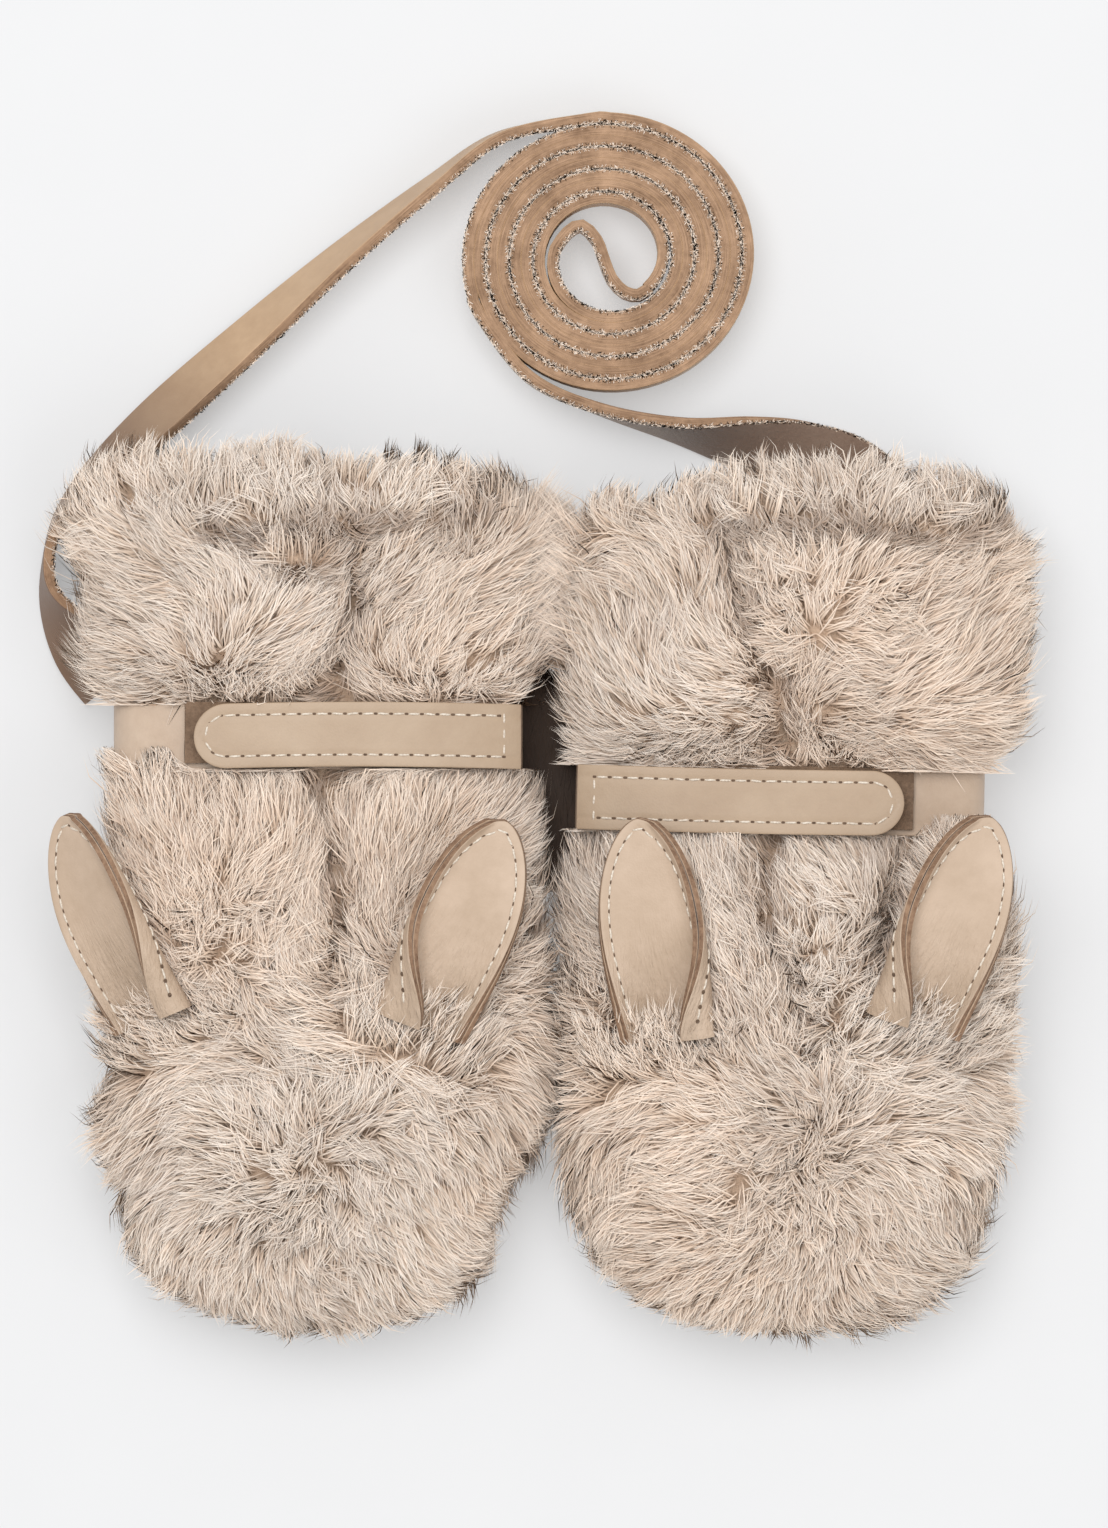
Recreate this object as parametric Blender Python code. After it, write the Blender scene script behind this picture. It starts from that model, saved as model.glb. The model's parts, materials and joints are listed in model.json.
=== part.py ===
"""A pair of child's fur mittens with leather ears, wrist straps and a rolled neck strap.

Metres, +Z up. The pair lies palm down on Z = 0 with its fingertips towards -Y. X = 0 is the line
between the two mittens. Each mitten's own places are measured from its wrist: outward is away from
the other mitten, and along is towards the cuff's mouth.
"""

import math
from dataclasses import dataclass

import bmesh
import bpy
from mathutils import Matrix, Vector

MM = 0.001
CLEARANCE = 0.3 * MM  # between pieces that touch
STRAP_WIDTH = 12.0 * MM
SEAT_MARGIN = 1.5 * MM
STRAP_SEAT = STRAP_WIDTH + 2 * SEAT_MARGIN  # straight stretch of the wrist that carries the strap

# Fur shell
HAND_HALF_WIDTH = 41.5 * MM
HAND_TOP = 38.0 * MM
WRIST_HALF_WIDTH = 36.5 * MM
WRIST_TOP = 26.5 * MM
WRIST_BOTTOM = 4.0 * MM
CUFF_HALF_WIDTH = 43.5 * MM
CUFF_TOP = 36.5 * MM
FUR_WALL = 6.0 * MM
WRIST_WALL = 3.0 * MM
SETTLE = 3.0 * MM  # how far the round underside is pressed flat
SEAM_HEIGHT = 17.0 * MM
TIP_LENGTH = 44.0 * MM
TIP_ROUNDNESS = 2.4
TIP_REACH = 0.93
RIM_RADIUS = 6.0 * MM
RIM_INWARD = 0.8
CUFF_RAMP = 9.0 * MM
HAND_RAMP = 11.0 * MM
SOFT_SQUARENESS = 2.5
WRIST_SQUARENESS = 4.0
AROUND = 20

# What lies inside the shell
CAVITY_SHIFT = 5.0 * MM  # the hand's hollow stands off the thumb's side
FACING_DEPTH = 20.0 * MM
FACING_WALL = 3.5 * MM
ELASTIC_WIDTH = 8.0 * MM
ELASTIC_WALL = 1.0 * MM
LINING_WALL = 1.0 * MM

# Thumb
THUMB_INSET = 7.6 * MM  # from the hand's inner edge to the thumb's middle
THUMB_HALF_WIDTH = 8.0 * MM
THUMB_TOP = 16.4 * MM
THUMB_SETTLE = 0.5 * MM
THUMB_START = -28.0 * MM
THUMB_LENGTH = 48.0 * MM
THUMB_WALL = 2.6 * MM
THUMB_LINING_WALL = 0.7 * MM
THUMB_ROUND_SHARE = 0.38
THUMB_ROUNDNESS = 2.2
THUMB_AROUND = 16
# The way from the hand's hollow into the thumb, at both its ends: outward from the thumb's middle,
# along from its root, height and half width.
PASSAGE_ENDS = (
    (0.0, -1.0 * MM, 8.0 * MM, 4.0 * MM),
    (18.0 * MM, 13.0 * MM, 15.0 * MM, 4.5 * MM),
)

# Wrist strap
BAND_AROUND = 44
BAND_WALL = 1.4 * MM
PATCH_WALL = 1.0 * MM
TAB_WALL = 1.2 * MM
TAB_INNER_END = -(WRIST_HALF_WIDTH + 0.7 * MM)  # just round the wrist's inner side
TAB_LENGTH = 60.5 * MM
LOOP_SPAN = (-18.0 * MM, 24.5 * MM)
HOOK_SPAN = (-14.0 * MM, 18.5 * MM)
HOOK_WIDTH = 10.0 * MM
LOOP_MARGIN = 0.3 * MM
LOOP_RAISE = 0.8 * MM
TAB_STEP = 2.5 * MM
TAB_TIP_SHARE = 0.22

# Ears
EAR_LENGTH = 42.0 * MM
EAR_WIDTH = 20.5 * MM
EAR_ROOT_WIDTH = 10.0 * MM
EAR_WIDEST = 0.56
EAR_TIP_SHAPE = (2.1, 0.62)
EAR_ROOT_SHAPE = 1.2
EAR_TIP_REACH = 0.997
EAR_LAYER = 1.1 * MM
EAR_PITCH = 9.0
EAR_CUP = 2.6 * MM
EAR_ROOT_CUP = 3.0
EAR_LIFT = 0.5 * MM
EAR_ROWS = 8
EAR_COLUMNS = 6

# Neck strap
NECK_WIDTH = 12.0 * MM
NECK_WALL = 2.2 * MM
COIL_CENTRE = (12.3 * MM, 89.9 * MM)
COIL_OUTER = 24.7 * MM
COIL_INNER = 9.0 * MM
COIL_SIDES = 40
RUN_STEP = 5.0 * MM


@dataclass(frozen=True)
class Ear:
    name: str
    outward: float  # as a share of the hand's half width
    along: float
    lean: float
    roll: float


@dataclass(frozen=True)
class Mitten:
    """One mitten's own places; its inner edges are where it ends towards the other mitten."""

    name: str
    side: int
    cuff_edge: float
    wrist_edge: float
    hand_edge: float
    wrist_y: float
    cuff_length: float
    hand_length: float
    strap_turn: float
    ears: tuple

    @property
    def cuff_x(self):
        return self.cuff_edge + self.side * CUFF_HALF_WIDTH

    @property
    def wrist_x(self):
        return self.wrist_edge + self.side * WRIST_HALF_WIDTH

    @property
    def hand_x(self):
        return self.hand_edge + self.side * HAND_HALF_WIDTH

    @property
    def thumb_x(self):
        return self.hand_edge + self.side * THUMB_INSET


LEFT = Mitten(
    name="left",
    side=-1,
    cuff_edge=-1.7 * MM,
    wrist_edge=-5.5 * MM,
    hand_edge=-0.3 * MM,
    wrist_y=-1.0 * MM,
    cuff_length=51.0 * MM,
    hand_length=111.5 * MM,
    strap_turn=0.0,
    ears=(
        Ear("outer", 0.8, -55.4 * MM, 13.0, -40.0),
        Ear("inner", -0.477, -57.0 * MM, -18.8, 10.0),
    ),
)
RIGHT = Mitten(
    name="right",
    side=1,
    cuff_edge=3.9 * MM,
    wrist_edge=7.8 * MM,
    hand_edge=4.0 * MM,
    wrist_y=-12.9 * MM,
    cuff_length=60.5 * MM,
    hand_length=100.5 * MM,
    strap_turn=-1.2,
    ears=(
        Ear("outer", 0.569, -44.4 * MM, -19.8, 14.0),
        Ear("inner", -0.617, -47.2 * MM, 4.0, -14.0),
    ),
)

# Neck strap's free runs: x, y in millimetres and the strip's lean in degrees from standing on edge.
LEFT_RUN = (
    (-8.0, 111.8, 5),
    (-21.0, 102.7, 12),
    (-37.7, 89.5, 22),
    (-54.5, 74.8, 34),
    (-71.2, 60.0, 40),
    (-83.6, 48.4, 26),
    (-90.2, 40.2, 8),
    (-92.4, 31.0, 4),
    (-90.4, 22.0, 30),
    (-87.4, 14.0, 68),
    (-84.6, 7.5, 90),
)
RIGHT_RUN = (
    (-2.4, 66.6, 0),
    (11.0, 60.6, 0),
    (26.5, 56.4, 16),
    (39.0, 54.0, 52),
    (50.0, 52.2, 84),
    (58.5, 49.4, 90),
    (66.5, 42.0, 90),
    (74.0, 31.0, 90),
    (80.0, 18.0, 90),
    (82.0, 9.0, 90),
)
LEFT_WRAP = (30, 104)  # degrees round the coil that each run hugs before it leaves
RIGHT_WRAP = (150, 232)


def material(name, colour, roughness):
    made = bpy.data.materials.new(name)
    made.use_nodes = True
    shader = made.node_tree.nodes["Principled BSDF"]
    shader.inputs["Base Color"].default_value = (*colour, 1.0)
    shader.inputs["Roughness"].default_value = roughness
    shader.inputs["Metallic"].default_value = 0.0
    return made


def add_object(name, work, finish):
    """Turns a bmesh into a named object, with its faces all turned outwards."""
    bmesh.ops.recalc_face_normals(work, faces=work.faces)
    mesh = bpy.data.meshes.new(name)
    work.to_mesh(mesh)
    work.free()
    made = bpy.data.objects.new(name, mesh)
    bpy.context.scene.collection.objects.link(made)
    if finish is not None:
        mesh.materials.append(finish)
    return made


def join_rings(work, first, second):
    count = len(first)
    for k in range(count):
        work.faces.new((first[k], first[(k + 1) % count], second[(k + 1) % count], second[k]))


def skin(work, rings):
    """Lofts a list of rings and returns their vertices."""
    placed = [[work.verts.new(point) for point in ring] for ring in rings]
    for first, second in zip(placed, placed[1:]):
        join_rings(work, first, second)
    return placed


def add_bag(name, outer, inner, finish):
    """A bag with one open end: both lists of rings start at its mouth."""
    work = bmesh.new()
    outside = skin(work, outer)
    inside = skin(work, inner)
    join_rings(work, outside[0], inside[0])
    work.faces.new(outside[-1])
    work.faces.new(inside[-1])
    return add_object(name, work, finish)


def add_sleeve(name, outer, inner, finish):
    """A tube open at both ends."""
    work = bmesh.new()
    outside = skin(work, outer)
    inside = skin(work, inner)
    join_rings(work, outside[0], inside[0])
    join_rings(work, outside[-1], inside[-1])
    return add_object(name, work, finish)


def add_bar(name, rings, finish):
    """A solid lofted through rings and closed at both ends."""
    work = bmesh.new()
    placed = skin(work, rings)
    work.faces.new(placed[0])
    work.faces.new(placed[-1])
    return add_object(name, work, finish)


def mark_cutter(cutter):
    cutter.hide_render = True
    cutter.display_type = "WIRE"
    return cutter


def add_box(name, low, high):
    work = bmesh.new()
    bmesh.ops.create_cube(work, size=1.0)
    middle = (Vector(low) + Vector(high)) / 2
    spans = Vector(high) - Vector(low)
    for vertex in work.verts:
        vertex.co = middle + Vector(c * s for c, s in zip(vertex.co, spans))
    return mark_cutter(add_object(name, work, None))


def cut(target, cutter, operation="DIFFERENCE"):
    step = target.modifiers.new(cutter.name, "BOOLEAN")
    step.object = cutter
    step.operation = operation
    step.solver = "EXACT"


def smooth(value):
    value = min(max(value, 0.0), 1.0)
    return value * value * (3.0 - 2.0 * value)


def mix(first, second, share):
    return first + (second - first) * share


def superellipse(half_width, half_height, squareness, count=AROUND):
    """Points of a rounded oval, from its +X side towards +Z."""
    points = []
    for k in range(count):
        turn = 2.0 * math.pi * (k + 0.5) / count
        reach = 2.0 / squareness
        across = math.copysign(abs(math.cos(turn)) ** reach, math.cos(turn))
        up = math.copysign(abs(math.sin(turn)) ** reach, math.sin(turn))
        points.append((half_width * across, half_height * up))
    return points


def shell_section(mitten, along, extra):
    """Centre, half width, top, bottom and squareness of the shell at one place along the mitten.

    extra is None on the outside of the fur, or the distance inside the fur's wall.
    """
    if along > 0:
        away = smooth((along - STRAP_SEAT / 2) / CUFF_RAMP)
        far_x, far_half, far_top = mitten.cuff_x, CUFF_HALF_WIDTH, CUFF_TOP
    else:
        away = smooth((-along - STRAP_SEAT / 2) / HAND_RAMP)
        far_x, far_half, far_top = mitten.hand_x, HAND_HALF_WIDTH, HAND_TOP
    centre = mix(mitten.wrist_x, far_x, away)
    half = mix(WRIST_HALF_WIDTH, far_half, away)
    top = mix(WRIST_TOP, far_top, away)
    bottom = mix(WRIST_BOTTOM, -SETTLE, away)
    squareness = mix(WRIST_SQUARENESS, SOFT_SQUARENESS, away)
    inset = 0.0
    if extra is None:
        into_rim = max(along - (mitten.cuff_length - RIM_RADIUS), 0.0) / RIM_RADIUS
        rounding = RIM_RADIUS * (1.0 - math.sqrt(max(1.0 - into_rim**2, 0.0))) * RIM_INWARD
    else:
        inset = mix(WRIST_WALL, FUR_WALL, away) + extra
        rounding = inset
        if along < 0:
            centre += mitten.side * CAVITY_SHIFT * away
            half -= CAVITY_SHIFT * away
    half -= rounding
    top -= rounding
    bottom += rounding
    tip_start = -(mitten.hand_length - TIP_LENGTH)
    if along < tip_start:
        into_tip = min((tip_start - along) / (TIP_LENGTH - inset), 1.0)
        taper = (1.0 - into_tip**TIP_ROUNDNESS) ** (1 / TIP_ROUNDNESS)
        middle = (top + bottom) / 2
        half *= taper
        top = mix(middle, top, taper)
        bottom = mix(middle, bottom, taper)
    return centre, half, top, bottom, squareness, inset


def shell_ring(mitten, along, extra):
    centre, half, top, bottom, squareness, inset = shell_section(mitten, along, extra)
    middle = (top + bottom) / 2
    ring = []
    for across, up in superellipse(half, (top - bottom) / 2, squareness):
        height = max(middle + up, inset)
        ring.append(Vector((centre + across, mitten.wrist_y + along, height)))
    return ring


def shell_stations(mitten, mouth, inset):
    """Places along the mitten for the rings, from the given mouth to the fingertips."""
    seat = STRAP_SEAT / 2
    ramp = (1.0, 0.5)
    places = [mouth]
    if inset == 0.0:
        ramp = (1.0, 0.7, 0.4, 0.15)
        places += [mitten.cuff_length - RIM_RADIUS * share for share in (0.25, 0.6, 1.0)]
    places += [seat + CUFF_RAMP * share for share in ramp]
    places += [seat, -seat]
    places += [-seat - HAND_RAMP * share for share in ramp]
    tip_start = -(mitten.hand_length - TIP_LENGTH)
    steps = 7
    for k in range(steps):
        share = math.sin(math.pi / 2 * (k / (steps - 1)) * TIP_REACH)
        places.append(tip_start - (TIP_LENGTH - inset) * share)
    return sorted(set(places), reverse=True)


def shell_rings(mitten, mouth, extra):
    inset = 0.0 if extra is None else FUR_WALL + extra
    return [shell_ring(mitten, along, extra) for along in shell_stations(mitten, mouth, inset)]


def thumb_ring(mitten, along, inset):
    round_length = THUMB_LENGTH * THUMB_ROUND_SHARE
    round_start = THUMB_START - THUMB_LENGTH + round_length
    into = min(max(0.0, round_start - along) / (round_length - inset), 1.0)
    taper = (1.0 - into**THUMB_ROUNDNESS) ** (1 / THUMB_ROUNDNESS)
    half = (THUMB_HALF_WIDTH - inset) * taper
    middle = THUMB_TOP / 2 - THUMB_SETTLE
    half_height = (THUMB_TOP - middle - inset) * taper
    ring = []
    for across, up in superellipse(half, half_height, SOFT_SQUARENESS, THUMB_AROUND):
        height = max(middle + up, inset)
        ring.append(Vector((mitten.thumb_x + across, mitten.wrist_y + along, height)))
    return ring


def thumb_rings(mitten, inset):
    """Rings of the thumb from its open root to its tip; a negative inset makes the room round it."""
    round_length = THUMB_LENGTH * THUMB_ROUND_SHARE
    round_start = THUMB_START - THUMB_LENGTH + round_length
    places = [THUMB_START + max(-inset, 0.0)]
    places += [round_start - (round_length - inset) * share for share in (0.0, 0.4, 0.7, 0.9, 0.99)]
    return [thumb_ring(mitten, along, inset) for along in places]


def thumb_passage(mitten):
    """A cutter that opens the hand's hollow into the thumb."""
    rings = []
    for outward, along, height, half in PASSAGE_ENDS:
        x = mitten.thumb_x + mitten.side * outward
        y = mitten.wrist_y + THUMB_START + along
        corners = ((-half, -half), (half, -half), (half, half), (-half, half))
        rings.append([Vector((x + dx, y, height + dz)) for dx, dz in corners])
    return mark_cutter(add_bar(f"{mitten.name}_thumb_passage", rings, None))


def add_fur(mitten, finish, neck_channel):
    """The back and the palm of the shell, sewn along the side seams, and the thumb."""
    mouth = mitten.cuff_length
    reach = 200.0 * MM
    outer = shell_rings(mitten, mouth, None)
    inner = shell_rings(mitten, mouth, 0.0)
    back = add_bag(f"{mitten.name}_back_fur", outer, inner, finish)
    palm = add_bag(f"{mitten.name}_palm_fur", outer, inner, finish)
    above = SEAM_HEIGHT + CLEARANCE / 2
    below = SEAM_HEIGHT - CLEARANCE / 2
    upper = add_box(f"{mitten.name}_above_seam", (-reach, -reach, above), (reach, reach, reach))
    lower = add_box(f"{mitten.name}_below_seam", (-reach, -reach, -reach), (reach, reach, below))
    cut(back, upper, "INTERSECT")
    cut(palm, lower, "INTERSECT")
    room = mark_cutter(add_bar(f"{mitten.name}_thumb_room", thumb_rings(mitten, -CLEARANCE), None))
    passage = thumb_passage(mitten)
    cut(palm, room)
    cut(palm, passage)
    cut(palm, neck_channel)
    add_bag(f"{mitten.name}_thumb_fur", thumb_rings(mitten, 0.0), thumb_rings(mitten, THUMB_WALL), finish)
    return passage


def add_inside(mitten, finishes, passage):
    """The turned-in facing, the wrist elastic and the two linings."""
    mouth = mitten.cuff_length
    facing_end = mouth - FACING_DEPTH
    places = [mouth - 1.0 * MM, (mouth + facing_end) / 2, facing_end]
    add_sleeve(
        f"{mitten.name}_cuff_facing",
        [shell_ring(mitten, p, CLEARANCE) for p in places],
        [shell_ring(mitten, p, CLEARANCE + FACING_WALL) for p in places],
        finishes["fur"],
    )
    places = [ELASTIC_WIDTH / 2, -ELASTIC_WIDTH / 2]
    add_sleeve(
        f"{mitten.name}_wrist_elastic",
        [shell_ring(mitten, p, CLEARANCE) for p in places],
        [shell_ring(mitten, p, CLEARANCE + ELASTIC_WALL) for p in places],
        finishes["elastic"],
    )
    depth = CLEARANCE + ELASTIC_WALL + CLEARANCE
    lining = add_bag(
        f"{mitten.name}_lining",
        shell_rings(mitten, facing_end - CLEARANCE, depth),
        shell_rings(mitten, facing_end - CLEARANCE, depth + LINING_WALL),
        finishes["lining"],
    )
    cut(lining, passage)
    inset = THUMB_WALL + CLEARANCE
    add_bag(
        f"{mitten.name}_thumb_lining",
        thumb_rings(mitten, inset),
        thumb_rings(mitten, inset + THUMB_LINING_WALL),
        finishes["lining"],
    )


def wrist_outline(count=144):
    """The wrist's section as outward, height points, closed, from the outer side over the top."""
    middle = (WRIST_TOP + WRIST_BOTTOM) / 2
    half_height = (WRIST_TOP - WRIST_BOTTOM) / 2
    oval = superellipse(WRIST_HALF_WIDTH, half_height, WRIST_SQUARENESS, count)
    return [Vector((across, middle + up)) for across, up in oval]


def offset_outline(points, distance):
    """Moves a closed outline outwards by a distance."""
    moved = []
    for k, point in enumerate(points):
        run = points[(k + 1) % len(points)] - points[k - 1]
        moved.append(point + Vector((run.y, -run.x)).normalized() * distance)
    return moved


def top_path(distance, start, length):
    """Points over the top of the wrist at a distance from the fur, from start going outwards."""
    outline = offset_outline(wrist_outline(), distance)
    top = sorted((p for p in outline if p.y > (WRIST_TOP + WRIST_BOTTOM) / 2), key=lambda p: p.x)
    travelled = 0.0
    path = []
    for before, after in zip(top, top[1:]):
        if after.x <= start:
            continue
        point = before if before.x > start else before.lerp(after, (start - before.x) / (after.x - before.x))
        path.append(point)
        travelled += (after - point).length
        if travelled >= length:
            path.append(point.lerp(after, 1.0 - (travelled - length) / (after - point).length))
            break
    return path


def resample(path, step):
    """Points at even steps along a path, ends kept."""
    lengths = [0.0]
    for before, after in zip(path, path[1:]):
        lengths.append(lengths[-1] + (after - before).length)
    count = max(round(lengths[-1] / step), 1)
    points = []
    for k in range(count + 1):
        goal = lengths[-1] * k / count
        at = next((i for i in range(1, len(lengths)) if lengths[i] >= goal - 1e-9), len(lengths) - 1)
        part = (goal - lengths[at - 1]) / max(lengths[at] - lengths[at - 1], 1e-12)
        points.append(path[at - 1].lerp(path[at], part))
    return points


def strip_rings(path, wall, half_widths, raise_by):
    """Rectangular rings along a path of outward, height points."""
    rings = []
    for k, point in enumerate(path):
        run = path[min(k + 1, len(path) - 1)] - path[max(k - 1, 0)]
        up = Vector((-run.y, run.x)).normalized() * wall
        ring = []
        for depth, edge in ((0, -1), (0, 1), (1, 1), (1, -1)):
            spot = point + up * depth
            ring.append(Vector((spot.x, edge * half_widths[k] + raise_by, spot.y)))
        rings.append(ring)
    return rings


def round_end_widths(path, half_width):
    """Half widths along a strip that is square at its start and round at its end."""
    lengths = [0.0]
    for before, after in zip(path, path[1:]):
        lengths.append(lengths[-1] + (after - before).length)
    widths = []
    for travelled in lengths:
        left = lengths[-1] - travelled
        into = max(half_width - left, 0.0) / half_width
        widths.append(half_width * max(math.sqrt(1.0 - min(into, 1.0) ** 2), TAB_TIP_SHARE))
    return widths


def place_on_wrist(made, mitten, holder):
    """Puts a piece made in outward, along, height terms on its mitten."""
    if mitten.side < 0:
        made.data.transform(Matrix.Scale(-1, 4, Vector((1, 0, 0))))
        made.data.flip_normals()
    made.parent = holder


def add_patch(mitten, holder, name, span, distance, width, raise_by, finish):
    path = top_path(distance, span[0], span[1] - span[0])
    path = resample(path, TAB_STEP * 2)
    rings = strip_rings(path, PATCH_WALL, [width / 2] * len(path), raise_by)
    made = add_bar(f"{mitten.name}_{name}", rings, finish)
    place_on_wrist(made, mitten, holder)


def add_tab_layer(mitten, holder, name, distance, finish):
    path = top_path(distance, TAB_INNER_END, TAB_LENGTH)
    path = resample(path, TAB_STEP)
    tail = path.pop()
    path += [path[-1].lerp(tail, share) for share in (0.4, 0.75, 1.0)]
    rings = strip_rings(path, TAB_WALL, round_end_widths(path, STRAP_WIDTH / 2), 0.0)
    made = add_bar(f"{mitten.name}_{name}", rings, finish)
    place_on_wrist(made, mitten, holder)


def add_wrist_strap(mitten, finishes):
    """The band round the wrist, the loop and hook patches and the pull tab's two layers."""
    holder = bpy.data.objects.new(f"{mitten.name}_strap_frame", None)
    bpy.context.scene.collection.objects.link(holder)
    holder.location = (mitten.wrist_x, mitten.wrist_y, 0.0)
    holder.rotation_euler = (0.0, 0.0, math.radians(mitten.strap_turn))
    outline = wrist_outline(BAND_AROUND)
    inside = offset_outline(outline, CLEARANCE)
    outside = offset_outline(outline, CLEARANCE + BAND_WALL)
    edges = (-STRAP_WIDTH / 2, STRAP_WIDTH / 2)
    band = add_sleeve(
        f"{mitten.name}_wrist_band",
        [[Vector((p.x, y, p.y)) for p in outside] for y in edges],
        [[Vector((p.x, y, p.y)) for p in inside] for y in edges],
        finishes["leather"],
    )
    place_on_wrist(band, mitten, holder)
    distance = CLEARANCE + BAND_WALL + CLEARANCE
    width = STRAP_WIDTH - 2 * LOOP_MARGIN
    add_patch(mitten, holder, "loop_patch", LOOP_SPAN, distance, width, LOOP_RAISE, finishes["loop"])
    distance += PATCH_WALL + CLEARANCE
    add_patch(mitten, holder, "hook_patch", HOOK_SPAN, distance, HOOK_WIDTH, 0.0, finishes["hook"])
    distance += PATCH_WALL + CLEARANCE
    add_tab_layer(mitten, holder, "tab_backing", distance, finishes["suede"])
    distance += TAB_WALL + CLEARANCE
    add_tab_layer(mitten, holder, "tab_face", distance, finishes["leather"])


def ear_half_width(share):
    """Half width of an ear at a share of its length from the root."""
    if share > EAR_WIDEST:
        into = (share - EAR_WIDEST) / (1.0 - EAR_WIDEST)
        rise, fall = EAR_TIP_SHAPE
        return EAR_WIDTH / 2 * max(1.0 - into**rise, 0.0) ** fall
    swell = math.sin(math.pi / 2 * share / EAR_WIDEST) ** EAR_ROOT_SHAPE
    return mix(EAR_ROOT_WIDTH / 2, EAR_WIDTH / 2, swell)


def ear_rows(depth):
    """Rows of points across an ear from root to tip, a distance below its upper face."""
    rows = []
    for row in range(EAR_ROWS + 1):
        share = math.sin(math.pi / 2 * row / EAR_ROWS) * EAR_TIP_REACH
        half = ear_half_width(share)
        cup = EAR_CUP * (1.0 + EAR_ROOT_CUP * (1.0 - share) ** 2)
        points = []
        for column in range(EAR_COLUMNS + 1):
            across = half * (2.0 * column / EAR_COLUMNS - 1.0)
            rise = cup * (across / (EAR_WIDTH / 2)) ** 2
            points.append(Vector((across, EAR_LENGTH * share, rise - depth)))
        rows.append(points)
    return rows


def add_leaf(name, upper_rows, lower_rows, finish):
    """A thin curved leaf between two like grids of points, with both faces split the same way."""
    work = bmesh.new()
    upper, lower = ([[work.verts.new(p) for p in row] for row in rows] for rows in (upper_rows, lower_rows))
    for grid in (upper, lower):
        for near, far in zip(grid, grid[1:]):
            for k in range(len(near) - 1):
                work.faces.new((near[k], near[k + 1], far[k]))
                work.faces.new((near[k + 1], far[k + 1], far[k]))
    for column in (0, -1):
        for row in range(len(upper) - 1):
            corners = (upper[row][column], upper[row + 1][column], lower[row + 1][column], lower[row][column])
            work.faces.new(corners)
    for row in (0, -1):
        work.faces.new(upper[row] + lower[row][::-1])
    return add_object(name, work, finish)


def add_ears(mitten, finishes):
    for ear in mitten.ears:
        _, half, top, bottom, squareness, _ = shell_section(mitten, ear.along, None)
        middle = (top + bottom) / 2
        share = min(abs(ear.outward) * HAND_HALF_WIDTH / half, 1.0)
        surface = middle + (top - middle) * (1.0 - share**squareness) ** (1.0 / squareness)
        height = surface + 2 * EAR_LAYER + CLEARANCE + EAR_LIFT
        x = mitten.hand_x + mitten.side * ear.outward * HAND_HALF_WIDTH
        place = (x, mitten.wrist_y + ear.along, height)
        turn = (
            Matrix.Rotation(math.radians(ear.lean), 4, "Z")
            @ Matrix.Rotation(math.radians(ear.roll), 4, "Y")
            @ Matrix.Rotation(math.radians(EAR_PITCH), 4, "X")
        )
        for layer, word in enumerate(("front", "back")):
            depth = layer * (EAR_LAYER + CLEARANCE)
            name = f"{mitten.name}_{ear.name}_ear_{word}"
            made = add_leaf(name, ear_rows(depth), ear_rows(depth + EAR_LAYER), finishes["leather"])
            made.matrix_world = Matrix.Translation(place) @ turn


def wrap_points(degrees):
    """Strap points that hug the coil between two angles."""
    radius = COIL_OUTER + CLEARANCE + NECK_WALL / 2
    first, last = degrees
    count = 5
    points = []
    for k in range(count):
        turn = math.radians(mix(first, last, k / (count - 1)))
        x = COIL_CENTRE[0] + radius * math.cos(turn)
        y = COIL_CENTRE[1] + radius * math.sin(turn)
        points.append((x, y, 0.0))
    return points


def spline_value(p, q, r, s, t):
    """A smooth curve's value between q and r, with p before them and s after them."""
    square = 2 * p - 5 * q + 4 * r - s
    cube = 3 * q - p - 3 * r + s
    return 0.5 * (2 * q + (r - p) * t + square * t**2 + cube * t**3)


def spline(points, step):
    """A smooth curve through points of any size, at about even steps."""
    smooth_points = []
    ends = [points[0]] + list(points) + [points[-1]]
    for a, b, c, d in zip(ends, ends[1:], ends[2:], ends[3:]):
        count = max(round(math.dist(b[:2], c[:2]) / step), 1)
        for k in range(count):
            spot = tuple(spline_value(*values, k / count) for values in zip(a, b, c, d))
            smooth_points.append(spot)
    smooth_points.append(points[-1])
    return smooth_points


def strap_rings(points, wall, width):
    """Rectangular rings along a strap that rests on Z = 0; its lean turns it about its own line."""
    rings = []
    for k, (x, y, lean) in enumerate(points):
        before = points[max(k - 1, 0)]
        after = points[min(k + 1, len(points) - 1)]
        along = Vector((after[0] - before[0], after[1] - before[1], 0.0)).normalized()
        sideways = Vector((along.y, -along.x, 0.0))
        turn = math.radians(lean)
        over = math.cos(turn) * Vector((0, 0, 1)) - math.sin(turn) * sideways
        through = math.cos(turn) * sideways + math.sin(turn) * Vector((0, 0, 1))
        resting = (NECK_WIDTH * abs(math.cos(turn)) + NECK_WALL * abs(math.sin(turn))) / 2
        middle = Vector((x, y, resting))
        corners = ((-1, -1), (1, -1), (1, 1), (-1, 1))
        rings.append([middle + over * width / 2 * w + through * wall / 2 * t for t, w in corners])
    return rings


def run_points(wrap, run, sign):
    """The whole centre line of one free run, wrapped part first."""
    metres = [(x * MM, y * MM, sign * lean) for x, y, lean in run]
    return spline(wrap_points(wrap) + metres, RUN_STEP)


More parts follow.
